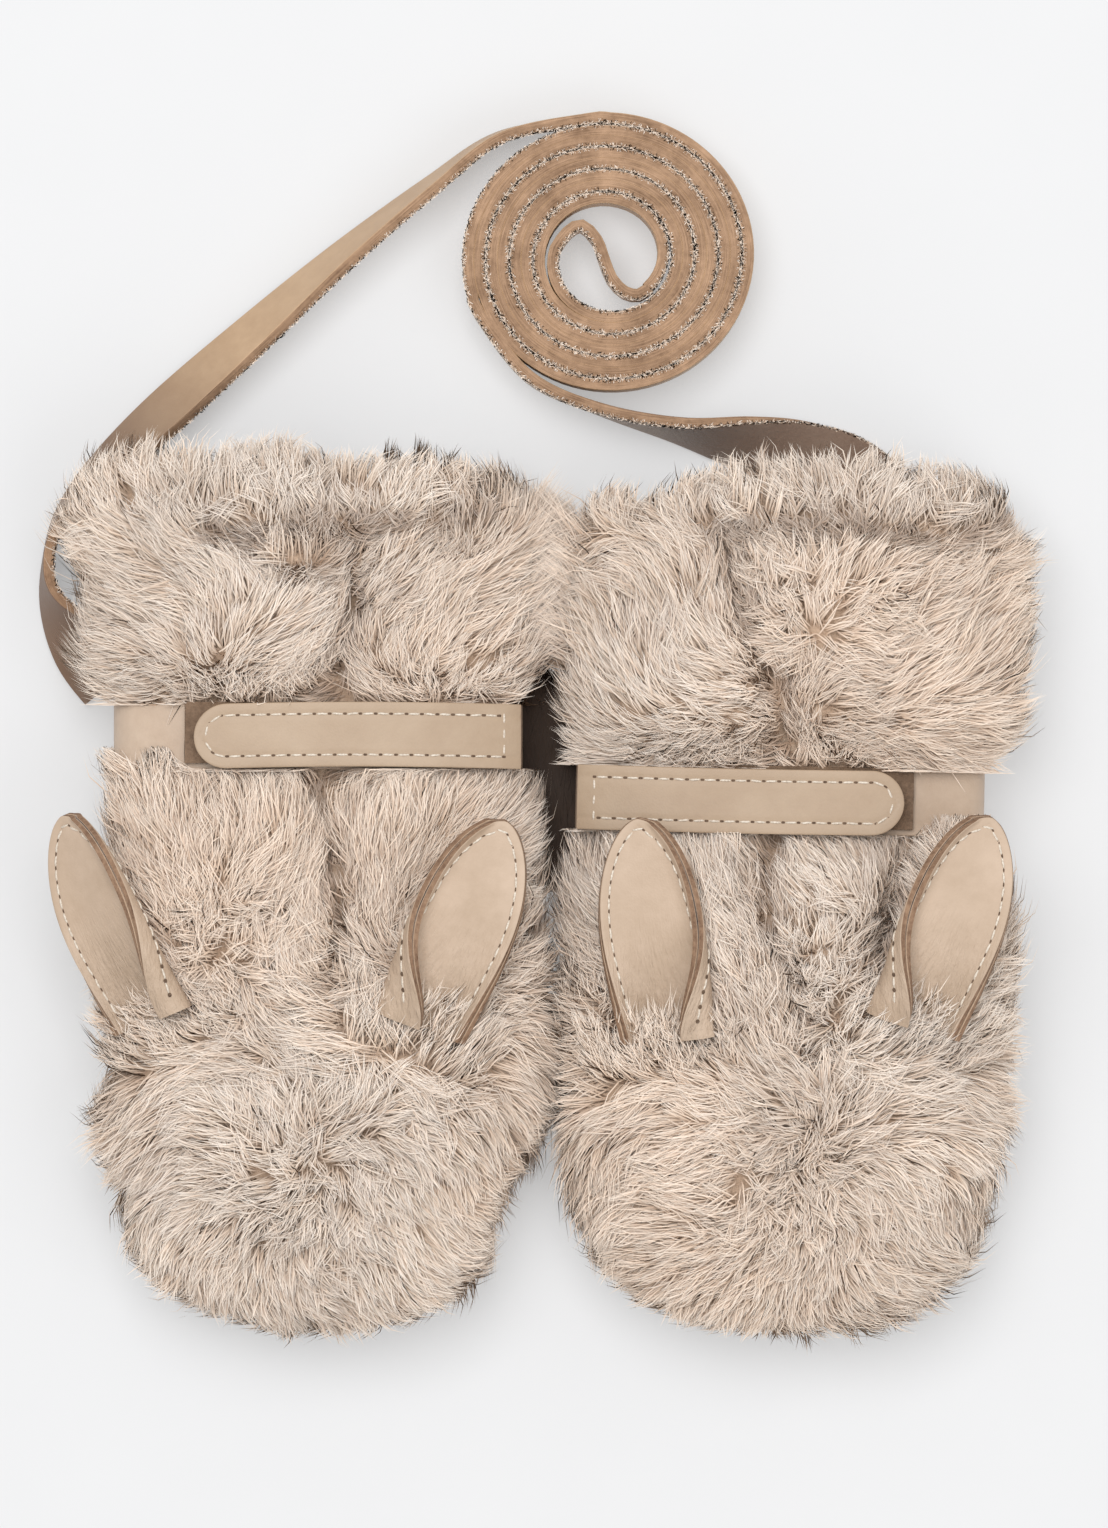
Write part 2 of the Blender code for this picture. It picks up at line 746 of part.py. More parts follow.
def add_neck_strap(finishes):
    """The rolled middle and the two free runs; returns the room the runs need in the fur."""
    work = bmesh.new()
    rings = []
    corners = ((COIL_INNER, 0.0), (COIL_OUTER, 0.0), (COIL_OUTER, NECK_WIDTH), (COIL_INNER, NECK_WIDTH))
    for k in range(COIL_SIDES):
        turn = 2.0 * math.pi * k / COIL_SIDES
        x, y = COIL_CENTRE
        rings.append([Vector((x + r * math.cos(turn), y + r * math.sin(turn), z)) for r, z in corners])
    placed = skin(work, rings)
    join_rings(work, placed[-1], placed[0])
    add_object("strap_coil", work, finishes["leather"])
    room_size = (NECK_WALL + 2 * CLEARANCE, NECK_WIDTH + 2 * CLEARANCE)
    runs = (("left", LEFT_WRAP, LEFT_RUN, -1), ("right", RIGHT_WRAP, RIGHT_RUN, 1))
    channels = {}
    for name, wrap, run, sign in runs:
        points = run_points(wrap, run, sign)
        add_bar(f"strap_{name}_run", strap_rings(points, NECK_WALL, NECK_WIDTH), finishes["leather"])
        room = strap_rings(points, *room_size)
        before, last = points[-2:]
        further = CLEARANCE / math.dist(before[:2], last[:2])
        beyond = tuple(q + (q - p) * further for p, q in zip(before, last))
        room[-1] = strap_rings([before, beyond], *room_size)[-1]
        channels[name] = mark_cutter(add_bar(f"strap_{name}_room", room, None))
    return channels


def stand_on_origin():
    """Moves everything so that the middle of the base of the whole box is the origin."""
    bpy.context.view_layer.update()
    graph = bpy.context.evaluated_depsgraph_get()
    corners = []
    for made in bpy.data.objects:
        if made.type == "MESH" and not made.hide_render:
            shown = made.evaluated_get(graph)
            corners += [shown.matrix_world @ Vector(corner) for corner in shown.bound_box]
    low = Vector(min(corner[axis] for corner in corners) for axis in range(3))
    high = Vector(max(corner[axis] for corner in corners) for axis in range(3))
    shift = Vector((-(low.x + high.x) / 2, -(low.y + high.y) / 2, -low.z))
    for made in bpy.data.objects:
        if made.parent is None:
            made.location += shift


def build():
    for old in list(bpy.data.objects):
        bpy.data.objects.remove(old, do_unlink=True)
    finishes = {
        "fur": material("fur", (0.62, 0.50, 0.40), 0.9),
        "leather": material("leather", (0.62, 0.47, 0.33), 0.5),
        "suede": material("suede", (0.40, 0.27, 0.17), 0.85),
        "lining": material("lining", (0.70, 0.62, 0.52), 0.9),
        "elastic": material("elastic", (0.75, 0.72, 0.66), 0.8),
        "loop": material("loop_tape", (0.30, 0.20, 0.13), 0.95),
        "hook": material("hook_tape", (0.28, 0.19, 0.12), 0.7),
    }
    channels = add_neck_strap(finishes)
    for mitten in (LEFT, RIGHT):
        passage = add_fur(mitten, finishes["fur"], channels[mitten.name])
        add_inside(mitten, finishes, passage)
        add_wrist_strap(mitten, finishes)
        add_ears(mitten, finishes)
    stand_on_origin()


build()
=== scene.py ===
"""A pair of child's fur mittens with leather ears, wrist straps and a rolled neck strap.

Shapes are worked out in millimetres in the frame's own axes and turned into metres as each mesh is
made. The pile is real geometry: tapered hairs in small locks, combed away from a few crowns.
"""

import json
import math
from dataclasses import dataclass

import bpy
import numpy as np
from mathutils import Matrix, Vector


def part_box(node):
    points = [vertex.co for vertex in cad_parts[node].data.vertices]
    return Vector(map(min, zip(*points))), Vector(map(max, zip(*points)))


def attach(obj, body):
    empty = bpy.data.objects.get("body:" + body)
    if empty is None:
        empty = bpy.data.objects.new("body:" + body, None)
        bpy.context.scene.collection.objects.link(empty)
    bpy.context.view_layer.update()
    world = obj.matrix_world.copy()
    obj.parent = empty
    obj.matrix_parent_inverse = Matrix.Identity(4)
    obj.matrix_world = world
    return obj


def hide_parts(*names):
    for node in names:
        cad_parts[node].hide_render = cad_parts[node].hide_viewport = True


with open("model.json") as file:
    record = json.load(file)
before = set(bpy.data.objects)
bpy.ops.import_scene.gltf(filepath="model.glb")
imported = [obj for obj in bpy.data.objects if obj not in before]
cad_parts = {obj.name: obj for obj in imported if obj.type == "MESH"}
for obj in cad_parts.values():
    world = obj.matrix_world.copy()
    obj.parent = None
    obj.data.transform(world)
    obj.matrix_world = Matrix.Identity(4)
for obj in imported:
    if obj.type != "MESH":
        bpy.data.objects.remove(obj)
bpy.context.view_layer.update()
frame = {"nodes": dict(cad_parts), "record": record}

MM = 0.001

# Fur shell, as the frame's own outer surface
SKIN_INSET = 2.6  # from the frame's fur surface to the skin that the pile grows on
HAND_HALF, HAND_TOP = 41.5, 38.0
WRIST_HALF, WRIST_TOP, WRIST_BOTTOM = 36.5, 26.5, 4.0
CUFF_HALF, CUFF_TOP = 43.5, 36.5
SETTLE = 3.0
TIP_LENGTH, TIP_ROUNDNESS = 44.0, 2.35
RIM = 6.0
SEAT = 7.0
CUFF_RAMP, HAND_RAMP = 9.0, 11.0
WRIST_SQUARENESS, SOFT_SQUARENESS = 4.0, 2.5
FACING_DEPTH = 20.0
FACING_WALL = 6.5
MOUTH_REACH = 6.0  # from the turned rim to the tips of its pile
TIP_PULL = 1.6  # how much shorter the skin is than the frame's fingertip
SIDE_PULL = 1.2
HEM_DEPTH, HEM_WIDTH = 4.6, 1.9

# Leather
STRAP_WIDTH = 12.0
BAND_WALL, TAB_WALL = 1.4, 1.2
BAND_RISE = 0.3  # from the wrist to the band's inner side
BACKING_RISE, FACE_RISE = 4.6, 6.1
TAB_START, TAB_LENGTH = -37.2, 60.5
EAR_LENGTH, EAR_HALF, EAR_ROOT_HALF, EAR_WIDEST = 41.5, 10.1, 8.6, 0.5
EAR_WALL = 1.1
NECK_WIDTH, NECK_WALL = 12.0, 2.18

# Rolled neck strap
COIL_CENTRE = (14.2, 87.05)
COIL_PITCH, COIL_SQUASH = 4.43, 0.95
LEFT_WIND = (170.0, 107.0 + 4 * 360.0, 8.6)  # first and last angle, and the radius at angle nought
RIGHT_WIND = (-38.0, 209.0 + 3 * 360.0, 10.7)
S_BEND = (
    (-7.6, 4.7),
    (-4.9, 6.0),
    (-2.1, 3.3),
    (-0.6, -0.7),
    (0.8, -4.1),
    (3.2, -6.5),
    (5.8, -7.0),
    (7.8, -5.8),
)
LEFT_RUN = (
    (-6.0, 109.8, 5),
    (-19.0, 100.7, 12),
    (-35.7, 87.5, 22),
    (-52.5, 72.8, 34),
    (-69.2, 58.0, 40),
    (-81.6, 46.4, 26),
    (-88.6, 38.2, 8),
    (-91.0, 30.0, 4),
    (-90.2, 22.5, 18),
    (-85.0, 14.0, 60),
    (-79.5, 7.0, 90),
)
RIGHT_RUN = (
    (-0.4, 64.6, 0),
    (13.0, 58.6, 0),
    (28.5, 54.4, 16),
    (41.0, 52.0, 52),
    (52.0, 50.2, 84),
    (60.5, 47.4, 90),
    (68.5, 40.0, 90),
    (76.0, 29.0, 90),
    (82.0, 16.0, 90),
    (84.0, 7.0, 90),
)


@dataclass(frozen=True)
class Mitten:
    name: str
    side: int
    cuff_shift: float
    hand_shift: float
    turn: float
    creases: tuple  # (depth, width, ((x, y), ...))
    tucks: tuple  # (x, y, radius, depth), with a depth under nought for a bulge
    crowns: tuple  # (x, y, strength)
    hem: tuple  # (x, y) of the sewn line across the cuff's back
    mouth: tuple  # (x, y) of the pile's upper outline

    @property
    def wrist(self):
        low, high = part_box(f"{self.name}_wrist_band")
        return (low.x + high.x) / 2 / MM, (low.y + high.y) / 2 / MM

    @property
    def cuff_length(self):
        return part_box(f"{self.name}_back_fur")[1].y / MM - self.wrist[1]

    @property
    def hand_length(self):
        return self.wrist[1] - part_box(f"{self.name}_back_fur")[0].y / MM


LEFT = Mitten(
    name="left",
    side=-1,
    cuff_shift=-2.2,
    hand_shift=1.4,
    turn=0.0,
    creases=(
        (8.5, 2.7, ((-34.8, 36.0), (-34.2, 26.0), (-33.0, 17.0), (-35.0, 10.0), (-35.3, 3.0))),
        (8.0, 3.0, ((-38.5, -10.0), (-39.4, -20.3), (-36.0, -31.0), (-33.8, -39.0), (-35.0, -48.5))),
        (3.0, 2.5, ((-52.0, 31.0), (-45.0, 26.0), (-38.0, 31.0))),
    ),
    tucks=(
        (-84.0, -58.0, 7.0, 6.5),
        (-75.0, -106.0, 14.0, -4.5),
        (-84.0, -84.0, 11.0, -2.5),
        (-88.0, 2.0, 8.0, 2.0),
        (5.0, -94.0, 12.0, 5.0),
        (-26.0, -60.0, 6.0, 2.0),
    ),
    crowns=(
        (-62.0, -2.0, 0.6),
        (-12.0, 0.0, 0.6),
        (-45.0, 28.0, 0.25),
        (-59.9, -41.6, 0.8),
        (-15.0, -46.0, 0.8),
        (-43.0, -84.0, 1.0),
        (-17.1, -71.0, 0.35),
    ),
    hem=((-58.0, 34.6), (-46.0, 35.4), (-34.0, 36.4), (-10.0, 35.6)),
    mouth=(
        *((-88, 42), (-82, 48), (-73, 52), (-62, 50), (-48, 52.5)),
        *((-34, 50), (-22, 51.5), (-12, 48), (-4, 45), (3, 47)),
    ),
)
RIGHT = Mitten(
    name="right",
    side=1,
    cuff_shift=1.9,
    hand_shift=0.2,
    turn=-1.2,
    creases=(
        (8.5, 2.7, ((34.9, 36.0), (36.5, 28.0), (40.5, 18.0), (46.5, 5.5), (48.0, -4.0))),
        (8.0, 2.8, ((47.0, -21.0), (44.4, -30.0), (44.4, -41.0), (48.0, -50.0), (52.6, -61.0))),
        (7.5, 3.6, ((72.5, -22.0), (68.5, -33.0), (64.7, -44.5))),
    ),
    tucks=(
        (92.0, -24.0, 8.0, 4.5),
        (96.0, -100.0, 13.0, 4.0),
        (22.0, -114.0, 9.0, 2.0),
        (2.0, -98.0, 10.0, 3.5),
        (12.0, 40.0, 8.0, 2.0),
    ),
    crowns=(
        (30.5, -10.0, 0.65),
        (60.0, -13.0, 0.6),
        (50.0, 21.0, 0.5),
        (63.5, 20.5, 0.4),
        (57.0, -52.0, 0.9),
        (13.0, -54.0, 0.7),
        (86.0, -52.0, 0.6),
        (49.8, -84.0, 1.0),
    ),
    hem=((34.0, 34.4), (50.0, 35.4), (66.0, 34.6), (82.0, 34.4), (93.0, 32.0)),
    mouth=(
        *((6, 46), (14, 44), (22, 43), (30, 46), (40, 49)),
        *((50, 48.5), (68, 49.5), (80, 47), (86, 45), (93, 39)),
    ),
)
MITTENS = (LEFT, RIGHT)


# ---------------------------------------------------------------- finishes


class Value:
    """A shader socket that can be used in arithmetic."""

    def __init__(self, tree, socket):
        self.tree = tree
        self.socket = socket

    def math(self, operation, *others, swap=False):
        made = self.tree.nodes.new("ShaderNodeMath")
        made.operation = operation
        terms = [*others, self] if swap else [self, *others]
        for slot, term in zip(made.inputs, terms):
            if isinstance(term, Value):
                self.tree.links.new(term.socket, slot)
            else:
                slot.default_value = term
        return Value(self.tree, made.outputs[0])

    def __add__(self, other):
        return self.math("ADD", other)

    def __sub__(self, other):
        return self.math("SUBTRACT", other)

    def __rsub__(self, other):
        return self.math("SUBTRACT", other, swap=True)

    def __mul__(self, other):
        return self.math("MULTIPLY", other)

    def __truediv__(self, other):
        return self.math("DIVIDE", other)

    def __pow__(self, other):
        return self.math("POWER", other)

    __radd__ = __add__
    __rmul__ = __mul__


# Sockets of the Mix node when it mixes colours
MIX_SHARE, MIX_FIRST, MIX_SECOND, MIX_RESULT = 0, 6, 7, 2


class Finish:
    """A material: its node tree, and short ways to add to it."""

    def __init__(self, name, roughness=0.8, **uniform):
        self.made = bpy.data.materials.new(name)
        self.made.use_nodes = True
        self.tree = self.made.node_tree
        self.shader = self.tree.nodes["Principled BSDF"]
        self.shader.inputs["Roughness"].default_value = roughness
        for socket, value in uniform.items():
            self.shader.inputs[socket.replace("_", " ")].default_value = value

    @classmethod
    def of(cls, made):
        """The same ways to add to a material that is already made."""
        finish = cls.__new__(cls)
        finish.made, finish.tree = made, made.node_tree
        finish.shader = made.node_tree.nodes["Principled BSDF"]
        return finish

    def node(self, kind, settings=None, inputs=None, output=0):
        made = self.tree.nodes.new(kind)
        for setting, value in (settings or {}).items():
            if setting == "stops":
                self.fill_ramp(made.color_ramp, value)
            else:
                setattr(made, setting, value)
        for socket, value in (inputs or {}).items():
            if isinstance(value, Value):
                self.tree.links.new(value.socket, made.inputs[socket])
            else:
                made.inputs[socket].default_value = value
        return Value(self.tree, made.outputs[output])

    @staticmethod
    def fill_ramp(ramp, stops):
        while len(ramp.elements) < len(stops):
            ramp.elements.new(0.5)
        for element, (place, colour) in zip(ramp.elements, stops):
            element.position = place
            element.color = (*colour, 1.0)

    def place(self, scale=(1.0, 1.0, 1.0)):
        """The point on the piece itself, stretched by a scale for each axis."""
        spot = self.node("ShaderNodeTexCoord", output="Object")
        return self.node("ShaderNodeMapping", inputs={"Vector": spot, "Scale": scale})

    def lay(self, scale=(1.0, 1.0, 1.0)):
        """Millimetres along and across a leather or tape piece."""
        spot = self.node("ShaderNodeUVMap", {"uv_map": "Lay"})
        return self.node("ShaderNodeMapping", inputs={"Vector": spot, "Scale": scale})

    def way(self, layer, axis):
        """One of the two coordinates, X or Y, of a UV map."""
        spot = self.node("ShaderNodeUVMap", {"uv_map": layer})
        return self.node("ShaderNodeSeparateXYZ", inputs={"Vector": spot}, output=axis)

    def noise(self, spot, scale, detail=3.0, roughness=0.55):
        values = {"Vector": spot, "Scale": scale, "Detail": detail, "Roughness": roughness}
        return self.node("ShaderNodeTexNoise", inputs=values, output="Fac")

    def cells(self, spot, scale):
        values = {"Vector": spot, "Scale": scale}
        return self.node("ShaderNodeTexVoronoi", inputs=values, output="Distance")

    def stripes(self, direction, scale):
        values = {"Vector": self.place(), "Scale": scale, "Distortion": 0.6}
        return self.node("ShaderNodeTexWave", {"bands_direction": direction}, values, "Fac")

    def ramp(self, share, *stops):
        return self.node("ShaderNodeValToRGB", {"stops": stops}, {"Fac": share}, "Color")

    def blend(self, share, first, second):
        ends = [(*end, 1.0) if isinstance(end, tuple) else end for end in (first, second)]
        values = {MIX_SHARE: share, MIX_FIRST: ends[0], MIX_SECOND: ends[1]}
        return self.node("ShaderNodeMix", {"data_type": "RGBA"}, values, MIX_RESULT)

    def colour(self, value):
        self.tree.links.new(value.socket, self.shader.inputs["Base Color"])

    def gloss(self, value):
        self.tree.links.new(value.socket, self.shader.inputs["Roughness"])

    def bump(self, height, distance):
        values = {"Height": height, "Distance": distance * MM, "Strength": 1.0}
        made = self.node("ShaderNodeBump", inputs=values, output="Normal")
        self.tree.links.new(made.socket, self.shader.inputs["Normal"])


# A hair's column in the UV map OFBake says its tone and hue
TONES = 16
HUES = 4
BROWN_SHADOW = (0.19, 0.105, 0.062)
PAINTED_SHADE_BROWN = (0.02, 0.009, 0.005)


def pile_finish(name, depth=0.0):
    """Hair colour, read from each hair's own tone and the way along it; depth mixes it all towards a
    near-black brown as painted shade.
    """
    made = Finish(name, roughness=0.75, Specular_IOR_Level=0.15)
    along = made.way("OFBake", "Y")
    step = (made.way("OFBake", "X") * (TONES * HUES)).math("FLOOR")
    hue = (step / TONES).math("FLOOR") / (HUES - 1)
    tone = (step - hue * ((HUES - 1) * TONES)) / (TONES - 1)
    warm = ((0.50, 0.34, 0.235), (0.72, 0.55, 0.42), (0.87, 0.72, 0.595), (0.96, 0.865, 0.765))
    cool = ((0.48, 0.35, 0.26), (0.70, 0.57, 0.46), (0.84, 0.745, 0.655), (0.95, 0.89, 0.83))
    warm, cool = (made.ramp(along, *zip((0.0, 0.3, 0.65, 1.0), colours)) for colours in (warm, cool))
    base = made.blend(hue, warm, cool)
    dark = made.blend(0.6, base, BROWN_SHADOW)
    # low tones lean to BROWN_SHADOW: darker hairs at random, and painted shade where grow_hairs pushes tones
    # down
    made.colour(made.blend(depth, made.blend(tone**0.8, dark, base), PAINTED_SHADE_BROWN))
    return made.made


def skin_finish():
    """The knitted cloth that the pile grows on."""
    made = Finish("fur backing", roughness=0.95)
    grain = made.noise(made.place(), 620.0, 4.0)
    broad = made.noise(made.place(), 90.0, 2.0)
    made.colour(made.ramp(grain * 0.6 + broad * 0.4, (0.3, (0.40, 0.275, 0.19)), (0.7, (0.62, 0.47, 0.35))))
    made.bump(grain, 0.4)
    return made.made


def leather_finish(name, light, deep, wrinkled=0.0):
    """Smooth natural leather: fine pores, soft clouds of colour, and creases along the piece."""
    made = Finish(name, roughness=0.5, Coat_Weight=0.06, Coat_Roughness=0.35)
    clouds = made.noise(made.place(), 75.0, 3.0)
    mottle = made.noise(made.place(), 520.0, 4.0, 0.65)
    pores = made.cells(made.place(), 2300.0)
    tint = made.ramp(clouds * 0.7 + mottle * 0.3, (0.32, deep), (0.68, light))
    between_pores = made.ramp(pores, (0.0, (0.0, 0.0, 0.0)), (0.28, (1.0, 1.0, 1.0)))
    made.colour(made.blend(between_pores, made.blend(0.25, tint, deep), tint))
    made.gloss(0.44 + mottle * 0.2)
    height = pores * 0.35 + mottle * 0.5
    if wrinkled:
        folds = made.noise(made.lay((0.28, 1.5, 1.0)), 1.0, 4.0, 0.6)
        near_root = (1.0 - made.way("Lay", "X") / 26.0).math("MAXIMUM", 0.0)
        height = height + folds * near_root * (15.0 * wrinkled)
    made.bump(height, 0.07)
    return made.made


def shade_strap_ends(made, length):
    """Paints shade into a strap towards its two sewn ends, where it twists and runs in under the cuffs."""
    finish = Finish.of(made)
    way = finish.way("Lay", "X")
    left = (1.0 - (way - 42.0) / 40.0).math("MAXIMUM", 0.0)
    right = ((way - (length - 118.0)) / 45.0).math("MAXIMUM", 0.0)
    dark = (left + right).math("MINIMUM", 0.85)
    first = finish.shader.inputs["Base Color"].links[0].from_socket
    # painted shade: a near-black brown mixed in over the last few centimetres at each end
    finish.colour(finish.blend(dark, Value(finish.tree, first), (0.12, 0.066, 0.044)))
    return made


def edge_finish(name, light, deep, layered=False):
    """The cut edge of leather: packed fibres, in long layers where the strap is rolled up."""
    made = Finish(name, roughness=0.88)
    fibres = made.noise(made.place((1.0, 1.0, 3.0)), 900.0, 4.0, 0.7)
    if layered:
        fibres = fibres * 0.3 + made.noise(made.lay((0.12, 3.4, 1.0)), 1.0, 4.0, 0.6) * 0.7
    broad = made.noise(made.place(), 170.0, 3.0)
    made.colour(made.ramp(fibres * 0.65 + broad * 0.35, (0.36, deep), (0.62, light)))
    made.bump(fibres, 0.22)
    return made.made


def suede_finish(name, light, deep):
    """The flesh side of leather: short brushed nap."""
    made = Finish(name, roughness=0.92, Sheen_Weight=0.35, Sheen_Roughness=0.5)
    nap = made.noise(made.place(), 1300.0, 4.0, 0.7)
    brushed = made.noise(made.place((1.0, 0.45, 1.0)), 160.0, 4.0, 0.6)
    made.colour(made.ramp(nap * 0.45 + brushed * 0.55, (0.33, deep), (0.66, light)))
    made.bump(nap + brushed * 0.6, 0.25)
    return made.made


def woven_finish(name, light, deep, scale, depth=0.2):
    """Cloth and tape: crossed stripes with fuzz over them."""
    made = Finish(name, roughness=0.85)
    weave = made.stripes("X", scale) * made.stripes("Y", scale)
    fuzz = made.noise(made.place(), 1500.0, 3.0)
    made.colour(made.ramp(weave * 0.6 + fuzz * 0.4, (0.15, deep), (0.65, light)))
    made.bump(weave + fuzz * 0.4, depth)
    return made.made


def thread_finish():
    made = Finish("sewing thread", roughness=0.55)
    twist = made.noise(made.place(), 2600.0, 2.0)
    made.colour(made.ramp(twist, (0.3, (0.46, 0.38, 0.30)), (0.66, (0.74, 0.67, 0.58))))
    made.bump(twist, 0.08)
    return made.made


def hole_shade_finish():
    # painted shade: a near-black disc stands for the shade inside each needle hole
    made = Finish("needle hole", roughness=0.9)
    grain = made.noise(made.place(), 3000.0, 2.0)
    made.colour(made.ramp(grain, (0.3, (0.07, 0.042, 0.026)), (0.7, (0.15, 0.095, 0.06))))
    return made.made


FUR = pile_finish("fur pile")
# pile coloured near black as painted shade, for the gap between the wrists
SHADED_GAP_FUR = pile_finish("deep fur pile", 0.96)
SKIN = skin_finish()
TAB_LEATHER = leather_finish("tab leather", (0.42, 0.315, 0.222), (0.345, 0.245, 0.163))
BAND_LEATHER = leather_finish("band leather", (0.53, 0.415, 0.32), (0.42, 0.31, 0.225))
EAR_LEATHER = leather_finish("ear leather", (0.53, 0.405, 0.305), (0.42, 0.31, 0.22), wrinkled=1.0)
CUT_EDGE = edge_finish("cut edge", (0.30, 0.185, 0.115), (0.13, 0.07, 0.04))
NECK_EDGE = edge_finish("neck strap edge", (0.46, 0.29, 0.18), (0.17, 0.095, 0.052), layered=True)
SUEDE = suede_finish("suede side", (0.58, 0.43, 0.31), (0.33, 0.215, 0.135))
THREAD = thread_finish()
HOLE_SHADE = hole_shade_finish()
FLEECE = woven_finish("fleece lining", (0.78, 0.69, 0.58), (0.55, 0.46, 0.37), 700.0)
ELASTIC = woven_finish("elastic tape", (0.85, 0.82, 0.76), (0.62, 0.58, 0.5), 420.0, 0.3)
LOOP_TAPE = suede_finish("loop tape", (0.26, 0.17, 0.11), (0.10, 0.06, 0.035))
HOOK_TAPE = woven_finish("hook tape", (0.24, 0.16, 0.1), (0.09, 0.055, 0.03), 900.0, 0.35)


# ---------------------------------------------------------------- meshes


def make_mesh(name, points, groups, finishes, normals=None):
    """A mesh object from points in millimetres and (faces, material number) groups."""
    mesh = bpy.data.meshes.new(name)
    points = np.asarray(points, float)
    groups = [(np.asarray(faces, np.int64), number) for faces, number in groups if len(faces)]
    corners = np.concatenate([faces.ravel() for faces, _ in groups])
    sizes = np.concatenate([np.full(len(faces), faces.shape[1]) for faces, _ in groups])
    numbers = np.concatenate([np.full(len(faces), number) for faces, number in groups])
    mesh.vertices.add(len(points))
    mesh.vertices.foreach_set("co", (points * MM).astype(np.float32).ravel())
    mesh.loops.add(len(corners))
    mesh.loops.foreach_set("vertex_index", corners.astype(np.int32))
    mesh.polygons.add(len(sizes))
    starts = np.concatenate([[0], np.cumsum(sizes)[:-1]])
    mesh.polygons.foreach_set("loop_start", starts.astype(np.int32))
    mesh.polygons.foreach_set("material_index", numbers.astype(np.int32))
    mesh.polygons.foreach_set("use_smooth", np.ones(len(sizes), bool))
    mesh.update(calc_edges=True)
    if normals is not None:
        mesh.normals_split_custom_set_from_vertices(normals.astype(np.float32))
    for finish in finishes:
        mesh.materials.append(finish)
    made = bpy.data.objects.new(name, mesh)
    bpy.context.scene.collection.objects.link(made)
    return made


def set_lay(made, name, per_point):
    """Gives a mesh a UV map from one pair of values for each of its points."""
    layer = made.data.uv_layers.new(name=name)
    index = np.empty(len(made.data.loops), np.int32)
    made.data.loops.foreach_get("vertex_index", index)
    layer.data.foreach_set("uv", np.asarray(per_point, np.float32)[index].ravel())


def settle_piece(made, body, slot, nodes=()):
    """Gives a piece its body and hides the CAD nodes that it stands for; slot is not used."""
    if nodes:
        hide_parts(*nodes)
    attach(made, body)
    return made


def grid_faces(rows, columns, first=0, close=False):
    """Quads between rows of points; a closed grid joins its last column to its first."""
    r = np.arange(rows - 1)[:, None]
    c = np.arange(columns if close else columns - 1)[None, :]
    here = first + r * columns + c
    right = first + r * columns + (c + 1) % columns
    return np.stack([here, right, right + columns, here + columns], axis=-1).reshape(-1, 4)


def ease(value):
    """A smooth step from 0 to 1."""
    value = np.clip(value, 0.0, 1.0)
    return value * value * (3.0 - 2.0 * value)


def unit(vectors):
    return vectors / np.maximum(np.linalg.norm(vectors, axis=-1, keepdims=True), 1e-9)


def waves(points, size, seed, count=7):
    """Smooth unevenness between about -1 and 1, whose lumps are about size millimetres across."""
    random = np.random.default_rng(seed)
    total = np.zeros(points.shape[:-1])
    for _ in range(count):
        turn = unit(random.normal(size=3)) * 2.0 * math.pi / (size * random.uniform(1.4, 2.8))
        total += np.sin(points @ turn + random.uniform(0, 2 * math.pi))
    return total / math.sqrt(count / 2.0) / 1.6


def follow_mouth(m, points):
    """Draws the cuff's rows up or down so that the pile ends on the mitten's mouth line."""
    along = points[..., 1] - m.wrist[1]
    goal = np.interp(points[..., 0], [p[0] for p in m.mouth], [p[1] for p in m.mouth]) - MOUTH_REACH
    shift = goal - m.wrist[1] - m.cuff_length
    moved = points.copy()
    moved[..., 1] += shift * ease((along - 14.0) / 24.0)
    return moved


def line_offset(x, y, line):
    """Offset in plan of points from their nearest place on a line of (x, y) spots, and its length."""
    best = np.full(np.shape(x), 1e9)
    offset = np.zeros((*np.shape(x), 2))
    for (ax, ay), (bx, by) in zip(line, line[1:]):
        dx, dy = bx - ax, by - ay
        share = np.clip(((x - ax) * dx + (y - ay) * dy) / (dx * dx + dy * dy), 0.0, 1.0)
        here = np.stack([x - ax - share * dx, y - ay - share * dy], axis=-1)
        distance = np.hypot(here[..., 0], here[..., 1])
        offset = np.where((distance < best)[..., None], here, offset)
        best = np.minimum(best, distance)
    return offset, best


# ---------------------------------------------------------------- fur


